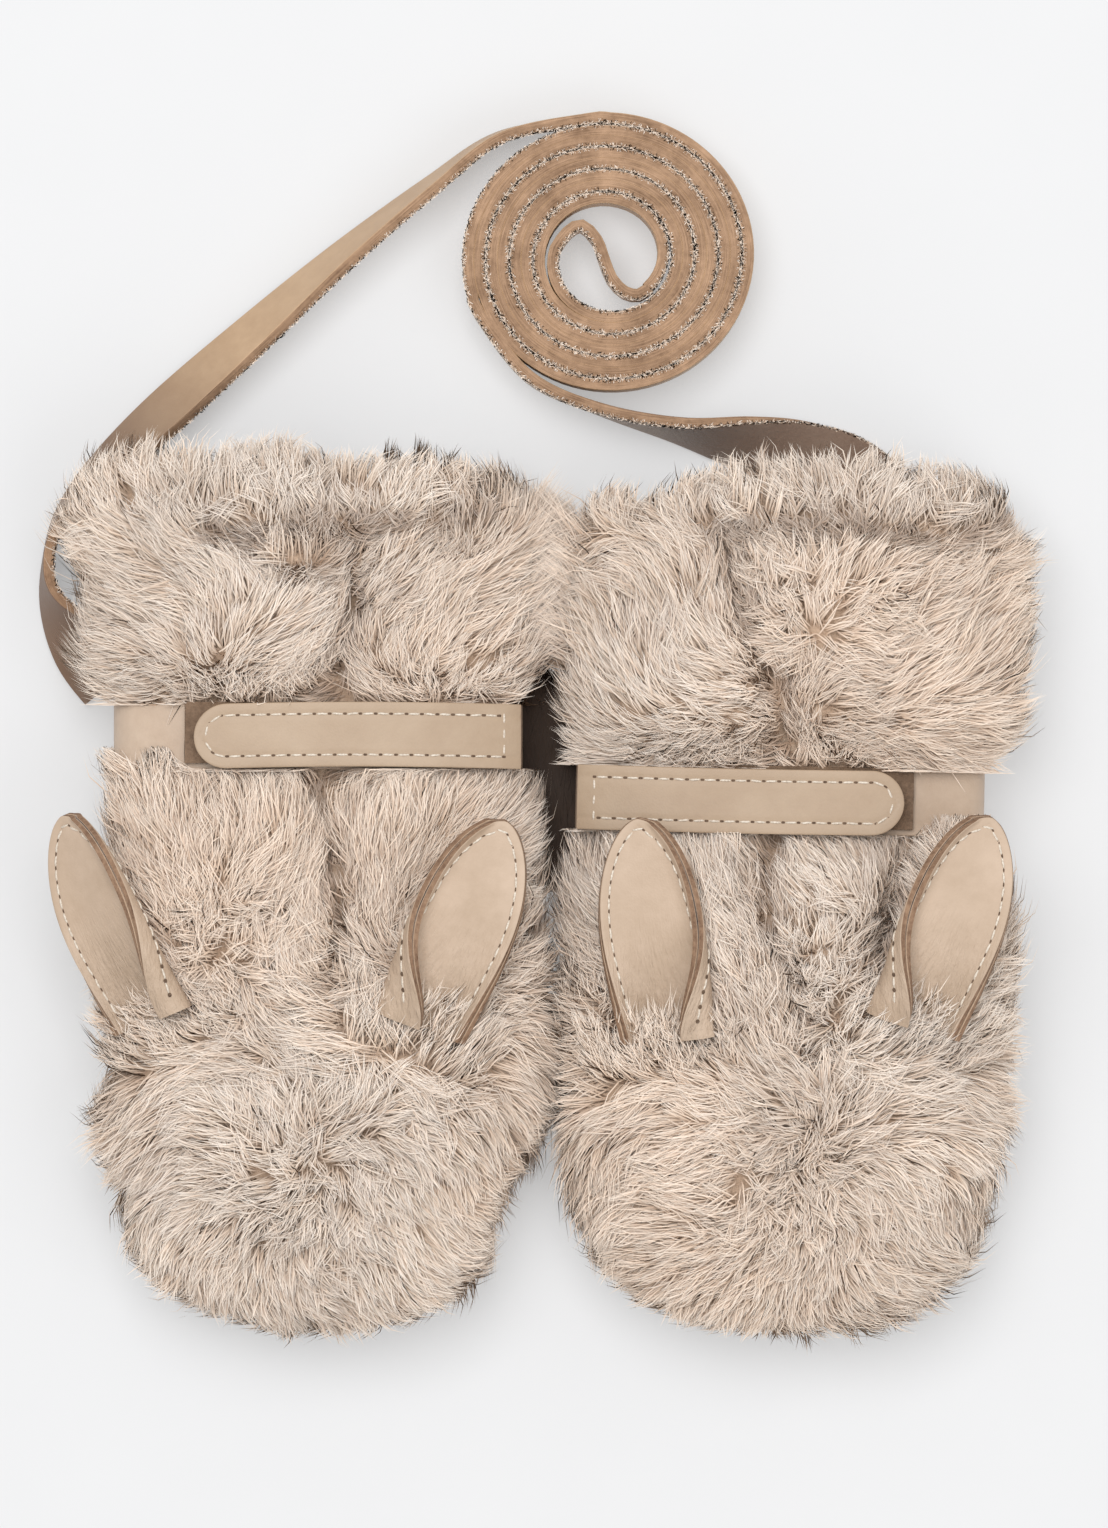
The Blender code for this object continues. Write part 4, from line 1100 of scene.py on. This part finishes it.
TAB_PITCH, EAR_PITCH = 2.85, 2.75
TAB_MARGIN, EAR_MARGIN = 2.2, 1.9  # from the edge to the stitches
STITCH_LENGTH, STITCH_THICKNESS, STITCH_ARCH = 2.2, 0.40, 0.15
STITCH_SINK = 0.14  # how far below a grooved face its stitches start
HUMP_RINGS, HUMP_SIDES, HOLE_SIDES = 7, 7, 8
HOLE_RADIUS = 0.40


def add_stitches(name, surface, line, height, body, random, pitch):
    """Thread humps over a leather face, with a dark disc of painted shade for a needle hole between each
    two.
    """
    spots, ways = even_spots(line, pitch)

    def stand(flat):
        """Place, run, side and outward directions on the face at flat spots."""
        here, above = (surface(*flat.T, np.full(len(flat), h)) for h in (height, height + 0.2))
        before, after = (surface(*(flat + d * ways).T, np.full(len(flat), height)) for d in (-0.3, 0.3))
        run, out = unit(after - before), unit(above - here)
        side = unit(np.cross(out, run))
        return here, run, side, np.cross(run, side)

    rings, sides = HUMP_RINGS, HUMP_SIDES
    t = np.linspace(-1, 1, rings)[:, None]
    turn = np.linspace(0, 2 * math.pi, sides, endpoint=False)[None, :]
    thick = STITCH_THICKNESS / 2 * np.sqrt(np.maximum(1 - np.abs(t) ** 2.6, 0.03))
    ahead = np.broadcast_to(t * STITCH_LENGTH / 2, (rings, sides)).reshape(-1)
    aside = (thick * np.cos(turn) * 1.15).reshape(-1)
    lift = (STITCH_ARCH * (1 - t**2) - 0.06 + thick * np.sin(turn)).reshape(-1)
    slant = random.normal(0, 0.05, len(spots))[:, None]
    here, run, side, out = stand(spots)
    humps = here[:, None] + run[:, None] * ahead[:, None] + out[:, None] * lift[:, None]
    humps += side[:, None] * (aside + slant * ahead)[..., None]
    disc = np.linspace(0, 2 * math.pi, HOLE_SIDES, endpoint=False)[:, None]
    here, run, side, out = (values[:, None] for values in stand(spots + ways * pitch / 2))
    rims = here + out * 0.01 + HOLE_RADIUS * (run * 1.15 * np.cos(disc) + side * np.sin(disc))
    holes = np.concatenate([rims, here + out * 0.04], axis=1)
    first = np.arange(len(spots))[:, None, None] * rings * sides
    quads = (first + grid_faces(rings, sides, close=True)).reshape(-1, 4)
    ends = [np.arange(sides)[::-1], (rings - 1) * sides + np.arange(sides)]
    fans = np.concatenate([np.stack([np.full(sides - 2, e[0]), e[1:-1], e[2:]], axis=-1) for e in ends])
    rim = np.arange(HOLE_SIDES)
    wheel = np.stack([rim, (rim + 1) % HOLE_SIDES, np.full(HOLE_SIDES, HOLE_SIDES)], axis=-1)
    wheels = wheel + humps[..., 0].size + np.arange(len(spots))[:, None, None] * (HOLE_SIDES + 1)
    points = np.concatenate([humps.reshape(-1, 3), holes.reshape(-1, 3)])
    groups = [(quads, 0), ((first + fans).reshape(-1, 3), 0), (wheels.reshape(-1, 3), 1)]
    return settle_piece(make_mesh(name, points, groups, [THREAD, HOLE_SHADE]), body, "thread")


def wrist_path(distance, closed=False):
    """Points and outward directions round the wrist at a distance from it, as outward and height."""
    count = 720
    turn = (np.arange(count) + 0.5) * 2 * math.pi / count
    middle, half_height = (WRIST_TOP + WRIST_BOTTOM) / 2, (WRIST_TOP - WRIST_BOTTOM) / 2
    across = np.sign(np.cos(turn)) * np.abs(np.cos(turn)) ** (2 / WRIST_SQUARENESS) * WRIST_HALF
    up = np.sign(np.sin(turn)) * np.abs(np.sin(turn)) ** (2 / WRIST_SQUARENESS) * half_height
    path = np.stack([across, middle + up], axis=-1)
    run = np.roll(path, -1, axis=0) - np.roll(path, 1, axis=0)
    outward = unit(np.stack([run[:, 1], -run[:, 0]], axis=-1))
    path = path + outward * distance
    if closed:
        return path, outward
    top = path[:, 1] > middle
    order = np.argsort(path[top][:, 0])
    return path[top][order], outward[top][order]


def strap_surface(m, distance, start=None, bow=0.0):
    """surface(along, across, height) for a strip round the wrist at a distance from it."""
    path, outward = wrist_path(distance, closed=start is None)
    if start is None:
        path = np.concatenate([path, path[:1]])
        outward = np.concatenate([outward, outward[:1]])
    lengths = np.concatenate([[0.0], np.cumsum(np.linalg.norm(np.diff(path, axis=0), axis=1))])
    offset = 0.0 if start is None else np.interp(start, path[:, 0], lengths)
    c, s = math.cos(math.radians(m.turn)), math.sin(math.radians(m.turn))
    wrist_x, wrist_y = m.wrist

    def surface(along, across, height):
        goal = along + offset
        out = [np.interp(goal, lengths, path[:, k]) for k in range(2)]
        way = [np.interp(goal, lengths, outward[:, k]) for k in range(2)]
        x = m.side * (out[0] + way[0] * height)
        z = out[1] + way[1] * height
        y = across + bow * np.sin(np.clip(along / TAB_LENGTH, 0, 1) * math.pi)
        return np.stack(np.broadcast_arrays(wrist_x + x * c - y * s, wrist_y + x * s + y * c, z), axis=-1)

    return surface, lengths[-1]


def round_ended(length, half, steps=52):
    """Lengths and half widths of a strip with a square start and a round end."""
    straight = np.linspace(0.0, length - half, steps)
    fine = np.array([0.0, 0.12, 0.3, 0.6])
    curve = np.linspace(0, math.pi / 2, 16)[1:]
    lengths = np.concatenate([fine, straight[1:], length - half + half * np.sin(curve)])
    lengths = np.unique(lengths)
    into = np.maximum(lengths - (length - half), 0.0)
    return lengths, np.maximum(np.sqrt(np.maximum(half**2 - into**2, 0.0)), 0.25)


def mirrored(surface, side):
    """Turns a left-hand piece's across direction so that its face stays outward."""
    return lambda along, across, height: surface(along, side * across, height)


BAND_STEPS = 220


def add_wrist_strap(m, random):
    """The band round the wrist and the two-layer pull tab over it, with its stitches."""
    surface, around = strap_surface(m, BAND_RISE)
    surface = mirrored(surface, -m.side)
    lengths = np.linspace(0.0, around, BAND_STEPS)
    halves = np.full(BAND_STEPS, STRAP_WIDTH / 2)
    finishes, nodes = [BAND_LEATHER, CUT_EDGE, SUEDE], [f"{m.name}_wrist_band"]
    name = f"{m.name}_wrist_band_leather"
    add_leaf(name, surface, lengths, halves, BAND_WALL, finishes, "mittens", "leather", nodes)
    body = f"{m.name}_tab"
    bow = 0.5 if m.side < 0 else -0.2
    lengths, halves = round_ended(TAB_LENGTH, STRAP_WIDTH / 2)
    rises = (BACKING_RISE, FACE_RISE - 0.2)
    lower, upper = (mirrored(strap_surface(m, rise, TAB_START, bow)[0], m.side) for rise in rises)
    finishes, nodes = [SUEDE, CUT_EDGE, SUEDE], [f"{body}_backing"]
    add_leaf(f"{body}_underside", lower, lengths, halves, TAB_WALL, finishes, body, "suede", nodes)
    finishes, nodes = [TAB_LEATHER, CUT_EDGE, SUEDE], [f"{body}_face"]
    name = f"{body}_leather"
    add_leaf(name, upper, lengths, halves, TAB_WALL, finishes, body, "leather", nodes, groove=TAB_MARGIN)
    line = inset_line(lengths, halves, TAB_MARGIN, open_ends=False)
    add_stitches(f"{body}_thread", upper, line, TAB_WALL - STITCH_SINK, body, random, TAB_PITCH)


def soften_node(m, node, name, finish, slot, body, fuzz=0.25, levels=2):
    """Replaces a plain CAD solid with a rounder, slightly uneven copy of itself."""
    mesh = frame["nodes"][node].data.copy()
    mesh.name = name
    mesh.materials.clear()
    mesh.materials.append(finish)
    made = bpy.data.objects.new(name, mesh)
    bpy.context.scene.collection.objects.link(made)
    step = made.modifiers.new("finer", "SUBSURF")
    step.subdivision_type = "SIMPLE"
    step.levels = step.render_levels = levels
    graph = bpy.context.evaluated_depsgraph_get()
    finer = bpy.data.meshes.new_from_object(made.evaluated_get(graph))
    made.modifiers.clear()
    made.data = finer
    points, normals = np.empty((2, len(finer.vertices) * 3), np.float32)
    finer.vertices.foreach_get("co", points)
    finer.vertices.foreach_get("normal", normals)
    points = points.reshape(-1, 3).astype(float) / MM
    points += normals.reshape(-1, 3) * (waves(points, 4.0, 91) * fuzz)[:, None]
    if slot == "lining":
        points[:, 2] -= crease_share(m, points)[1] * ease((points[:, 2] - 17.0) / 10.0)
    finer.vertices.foreach_set("co", (points * MM).astype(np.float32).ravel())
    finer.polygons.foreach_set("use_smooth", np.ones(len(finer.polygons), bool))
    finer.set_sharp_from_angle(angle=math.radians(40))
    finer.update()
    return settle_piece(made, body, slot, [node])


# ---------------------------------------------------------------- ears


def ear_frame(name):
    """Root, sideways, lengthways and upward directions of an ear, from its joint and its node."""
    joint = next(j for j in frame["record"]["behaviour"]["joints"] if j["name"] == f"{name}_lift")
    root = np.array(joint["pos_m"]) / MM
    sideways = unit(np.array(joint["axis"], float))
    node = frame["nodes"][f"{name}_front"]
    points = np.array([v.co for v in node.data.vertices], float) / MM
    tip = points[np.argmax(np.linalg.norm(points - root, axis=1))]
    lengthways = tip - root
    lengthways = unit(lengthways - sideways * (lengthways @ sideways))
    upward = np.cross(sideways, lengthways)
    degrees, shift_x, shift_y, _ = EAR_LAYS[name]
    c, s = math.cos(math.radians(degrees)), math.sin(math.radians(degrees))
    sideways, lengthways = sideways * c + lengthways * s, lengthways * c - sideways * s
    return root + (shift_x, shift_y, 0.0), sideways, lengthways, upward


def ear_half(share):
    """An ear's half width at a share of its length from the root."""
    toward_tip = np.clip((share - EAR_WIDEST) / (1 - EAR_WIDEST), 0, 1)
    tip = EAR_HALF * np.maximum(1 - toward_tip**2.2, 0) ** 0.62
    root = EAR_ROOT_HALF + (EAR_HALF - EAR_ROOT_HALF) * ease(share / EAR_WIDEST)
    return np.where(share > EAR_WIDEST, tip, root)


FOLD_STEPS = 24
LAPEL_TOP = 0.62  # how far up an ear the widening of its folded side reaches
PLAIN_SIDE = 0.86
EAR_LAYS = {  # turn in degrees, root shift in x and y, and extra width of the folded side
    "left_outer_ear": (6.5, 1.9, 2.4, 3.2),
    "left_inner_ear": (-1.5, 0.2, 3.0, 7.5),
    "right_inner_ear": (1.2, 2.4, 3.0, 5.0),
    "right_outer_ear": (3.0, 0.4, 2.4, 6.0),
}


def ear_surface(name, fold_side):
    """surface(along, across, height) of an ear whose root is folded over on one side."""
    root, sideways, lengthways, upward = ear_frame(name)

    def surface(along, across, height):
        along, across, height = np.broadcast_arrays(along, across, height)
        share = np.clip(along / EAR_LENGTH, 0, 1)
        half = np.maximum(ear_half(share), 3.0)
        folded = np.sign(across) == fold_side
        extra = EAR_LAYS[name][3] * ease((LAPEL_TOP - share) / LAPEL_TOP)
        full = np.where(folded, 46 + 125 * (1 - share) ** 1.6, 14 + 62 * (1 - share) ** 2.0)
        start = np.where(folded, (0.78 - 0.34 * share) * half, 0.0)
        span = np.where(folded, 0.42, 0.95) * half
        size = np.abs(across) * np.where(folded, (half + extra) / half, PLAIN_SIDE)
        x, z = np.zeros(size.shape), np.zeros(size.shape)
        for k in range(FOLD_STEPS):
            mid = size * (k + 0.5) / FOLD_STEPS
            angle = np.radians(full) * ease((mid - start) / span)
            x += np.cos(angle) * size / FOLD_STEPS
            z += np.sin(angle) * size / FOLD_STEPS
        angle = np.radians(full) * ease((size - start) / span)
        turn = np.where(across < 0, -1.0, 1.0)
        x = x - np.sin(angle) * height
        z = z + np.cos(angle) * height
        arch = 1.6 * np.sin(share * math.pi) - 1.4 * (1 - share) ** 2
        spot = root + (x * turn)[..., None] * sideways + along[..., None] * lengthways
        return spot + (z + arch)[..., None] * upward

    return surface


LEAF_GAP = 1.25  # from an ear's front leaf down to its back leaf
BARE_ROOT = 3.0  # stitches start this far from an ear's root


def add_ear(m, word, fold_side, random):
    """An ear of two leather leaves with stitches on both faces; gives the cover map over its pile."""
    name = f"{m.name}_{word}_ear"
    surface = ear_surface(name, fold_side)
    rounding = 0.8 + 0.2 * np.sin(np.linspace(0, math.pi / 2, 22))[1:]
    share = np.concatenate([np.linspace(0, 0.8, 40), rounding])
    lengths, halves = share * EAR_LENGTH, np.maximum(ear_half(share), 0.3)

    def lower(along, across, height):
        return surface(along, across, height - EAR_WALL - LEAF_GAP)

    def upper(along, across, height):
        return surface(along, across, height - EAR_WALL)

    def outer_side(along, across, height):
        return lower(along, -across, -height)

    for part, side, finishes, groove in (
        ("front", upper, [EAR_LEATHER, CUT_EDGE, SUEDE], EAR_MARGIN),
        ("back", lower, [SUEDE, CUT_EDGE, EAR_LEATHER], 0.0),
    ):
        leaf, nodes = f"{name}_{part}_leather", [f"{name}_{part}"]
        add_leaf(leaf, side, lengths, halves, EAR_WALL, finishes, name, "leather", nodes, groove, columns=21)
    line = inset_line(lengths, halves, EAR_MARGIN, open_ends=True)
    line = line[line[:, 0] > BARE_ROOT]
    add_stitches(f"{name}_thread", upper, line, EAR_WALL - STITCH_SINK, name, random, EAR_PITCH)
    add_stitches(f"{name}_back_thread", outer_side, line, 0.02, name, random, EAR_PITCH)
    return cover_map(lower, lengths, halves)


def cover_map(lower, lengths, halves):
    """The height beneath an ear over a grid in plan, for the pile that lies under it."""
    along = np.linspace(2.0, lengths[-1], 160)[:, None]
    half = np.interp(along, lengths, halves)
    across = half * np.linspace(-1.0, 1.0, 80)[None, :]
    points = lower(along + 0 * across, across, np.full(across.shape, -0.5)).reshape(-1, 3)
    cell = 0.5
    low = points[:, :2].min(axis=0) - 1.0
    count = np.ceil((points[:, :2].max(axis=0) + 1.0 - low) / cell).astype(int) + 1
    under = np.full(count, 1e9)
    for dx in (-cell, 0.0, cell):
        for dy in (-cell, 0.0, cell):
            column = ((points[:, 0] + dx - low[0]) / cell).astype(int)
            row = ((points[:, 1] + dy - low[1]) / cell).astype(int)
            np.minimum.at(under, (column, row), points[:, 2])
    return low, cell, under


# ---------------------------------------------------------------- neck strap


def smooth_line(points, step):
    """A smooth curve through points of any size, at about even steps."""
    points = np.asarray(points, float)
    ends = np.concatenate([[2 * points[0] - points[1]], points, [2 * points[-1] - points[-2]]])
    line = []
    for a, b, c, d in zip(ends, ends[1:], ends[2:], ends[3:]):
        count = max(round(np.linalg.norm(b[:2] - c[:2]) / step), 1)
        t = np.arange(count)[:, None] / count
        second, third = 2 * a - 5 * b + 4 * c - d, 3 * b - a - 3 * c + d
        line.append(0.5 * (2 * b + (c - a) * t + second * t**2 + third * t**3))
    return np.concatenate([*line, points[-1:]])


def wind(span):
    """One of the two strands of the roll, from its inner end outwards."""
    start, end, radius_at_nought = span
    degrees = np.arange(start, end, 9.0)
    turn = np.radians(degrees)
    radius = radius_at_nought + COIL_PITCH * degrees / 360.0 - 0.7 * np.exp((start - degrees) / 50.0)
    x = COIL_CENTRE[0] + radius * np.cos(turn)
    y = COIL_CENTRE[1] + radius * np.sin(turn) * COIL_SQUASH
    return np.stack([x, y, np.zeros(len(turn))], axis=-1)


def neck_line():
    """The strap's middle line with its lean, from the left mitten through the roll to the right."""
    left, right = wind(LEFT_WIND), wind(RIGHT_WIND)
    bend = [(COIL_CENTRE[0] + x, COIL_CENTRE[1] + y, 0.0) for x, y in S_BEND]
    left_run = [(x, y, -lean) for x, y, lean in LEFT_RUN]
    points = [*left_run[::-1], *left[::-1], *bend, *right, *RIGHT_RUN]
    return smooth_line(points, 1.6)


def add_neck_strap():
    """The strap on its edge along the neck line, leaning over where its runs leave the roll."""
    line = neck_line()
    ahead = unit(np.gradient(line[:, :2], axis=0))
    sideways = np.stack([ahead[:, 1], -ahead[:, 0], np.zeros(len(line))], axis=-1)
    lean = np.radians(line[:, 2])[:, None]
    upright = np.array([[0.0, 0.0, 1.0]])
    over = np.cos(lean) * upright - np.sin(lean) * sideways
    through = np.cos(lean) * sideways + np.sin(lean) * upright
    middle = NECK_WALL / 2
    resting = (NECK_WIDTH * np.abs(np.cos(lean)) + NECK_WALL * np.abs(np.sin(lean))) / 2
    centre = np.concatenate([line[:, :2], resting + 0.15], axis=1)
    lengths = np.concatenate([[0.0], np.cumsum(np.linalg.norm(np.diff(line[:, :2], axis=0), axis=1))])
    wobble = waves(centre, 30.0, 95)[:, None] * 0.12

    def surface(along, across, height):
        def at(values):
            return np.stack([np.interp(along, lengths, column) for column in values.T], axis=-1)

        spot = at(centre + over * wobble) + at(over) * across[..., None]
        return spot + at(through) * (height - middle)[..., None]

    halves = np.full(len(line), NECK_WIDTH / 2)
    nodes = ["strap_coil", "strap_left_run", "strap_right_run"]
    suede = suede_finish("neck strap suede", (0.72, 0.585, 0.455), (0.45, 0.31, 0.21))
    grain = leather_finish("neck strap leather", (0.55, 0.38, 0.235), (0.42, 0.27, 0.155))
    finishes = [shade_strap_ends(suede, lengths[-1]), NECK_EDGE, shade_strap_ends(grain, lengths[-1])]
    shape = ("neck_strap_leather", surface, lengths, halves, NECK_WALL, finishes)
    add_leaf(*shape, "mittens", "leather", nodes, columns=4, bevel=NECK_BEVEL)
    add_nap(surface, lengths[-1])


NAP_FIBRES = 34000


def add_nap(surface, length):
    """Loose fibres that stand along the suede side's upper edge."""
    random = np.random.default_rng(77)
    total = NAP_FIBRES
    along = random.random(total) * length
    across = NECK_WIDTH / 2 - 0.1 - np.abs(random.normal(0, 0.2, total))
    root = surface(along, across, np.full(total, NECK_WALL - 0.1))
    tip_along, tip_across = along + random.normal(0, 0.45, total), across + random.uniform(0.05, 0.45, total)
    tip = surface(tip_along, tip_across, NECK_WALL + random.uniform(-0.95, 0.3, total))
    share = HAIR_STEPS[None, :, None]
    points = root[:, None] * (1 - share) + tip[:, None] * share
    width_way = unit(np.cross(tip - root, random.normal(size=(total, 3))))
    column = 2 * TONES + random.integers(TONES - 6, TONES, total)
    upward = np.tile([0.0, 0.0, 1.0], (total, 1))
    add_pile("neck_strap_nap", (points, width_way, column, upward), widths=HAIR_WIDTHS * 0.75)


# ---------------------------------------------------------------- assembly


def add_hidden_layers(m):
    """Lining, elastic and closing tapes: mostly inside, rounder and woven."""
    side = m.name
    soften_node(m, f"{side}_lining", f"{side}_fleece_lining", FLEECE, "lining", "mittens")
    soften_node(m, f"{side}_thumb_lining", f"{side}_thumb_fleece", FLEECE, "lining", "mittens", 0.12)
    soften_node(m, f"{side}_wrist_elastic", f"{side}_elastic_tape", ELASTIC, "elastic", "mittens", 0.1)
    soften_node(m, f"{side}_loop_patch", f"{side}_loop_tape", LOOP_TAPE, "loop_tape", "mittens", 0.12, 3)
    soften_node(m, f"{side}_hook_patch", f"{side}_hook_tape", HOOK_TAPE, "hook_tape", f"{side}_tab", 0.05, 3)


FLOOR_HALF = 3000.0


def add_studio():
    """Camera straight above, pale floor, even air and two soft lights."""
    camera = bpy.data.objects.new("camera", bpy.data.cameras.new("camera"))
    bpy.context.scene.collection.objects.link(camera)
    frame_height, distance, focus_plane = 284.0 * MM, 1.9, 28.0 * MM
    camera.location = (4.1 * MM, -8.0 * MM, focus_plane + distance)
    camera.data.sensor_width = 36.0
    camera.data.lens = 36.0 * distance / frame_height
    camera.data.clip_end = 100.0
    bpy.context.scene.camera = camera
    bpy.context.scene.view_settings.view_transform = "Standard"
    corners = [(x * FLOOR_HALF, y * FLOOR_HALF, 0.0) for x, y in ((-1, -1), (1, -1), (1, 1), (-1, 1))]
    make_mesh("studio_floor", corners, [([(0, 1, 2, 3)], 0)], [floor_finish()])
    world = bpy.data.worlds.new("studio air")
    world.use_nodes = True
    air = world.node_tree.nodes["Background"].inputs
    air["Color"].default_value = (1.0, 0.985, 0.965, 1.0)
    air["Strength"].default_value = 0.62
    bpy.context.scene.world = world
    add_light("top_soft_light", (-0.2, 0.35, 1.45), 0.9, 16.0)
    add_light("side_soft_light", (0.7, -0.5, 1.2), 0.9, 5.0)


def add_light(name, place, size, power):
    light = bpy.data.lights.new(name, "AREA")
    light.size = size
    light.energy = power
    made = bpy.data.objects.new(name, light)
    made.location = place
    made.rotation_mode = "QUATERNION"
    made.rotation_quaternion = Vector(place).to_track_quat("Z", "Y")
    bpy.context.scene.collection.objects.link(made)


def floor_finish():
    made = Finish("studio paper", roughness=0.9)
    grain = made.noise(made.place(), 40.0, 2.0)
    made.colour(made.ramp(grain, (0.0, (0.395, 0.40, 0.41)), (1.0, (0.41, 0.415, 0.425))))
    made.shader.inputs["Emission Color"].default_value = (1.0, 1.0, 1.0, 1.0)
    made.shader.inputs["Emission Strength"].default_value = 0.34
    return made.made


def build():
    add_studio()
    stitch_random = np.random.default_rng(5)
    add_neck_strap()
    folds = {"left_outer": 1, "left_inner": -1, "right_inner": 1, "right_outer": -1}
    for m in MITTENS:
        covers = [add_ear(m, word, folds[f"{m.name}_{word}"], stitch_random) for word in ("outer", "inner")]
        add_wrist_strap(m, stitch_random)
        add_hidden_layers(m)
        add_mitten_fur(m, covers)
        add_thumb(m, covers)
    add_gap_pile()


build()
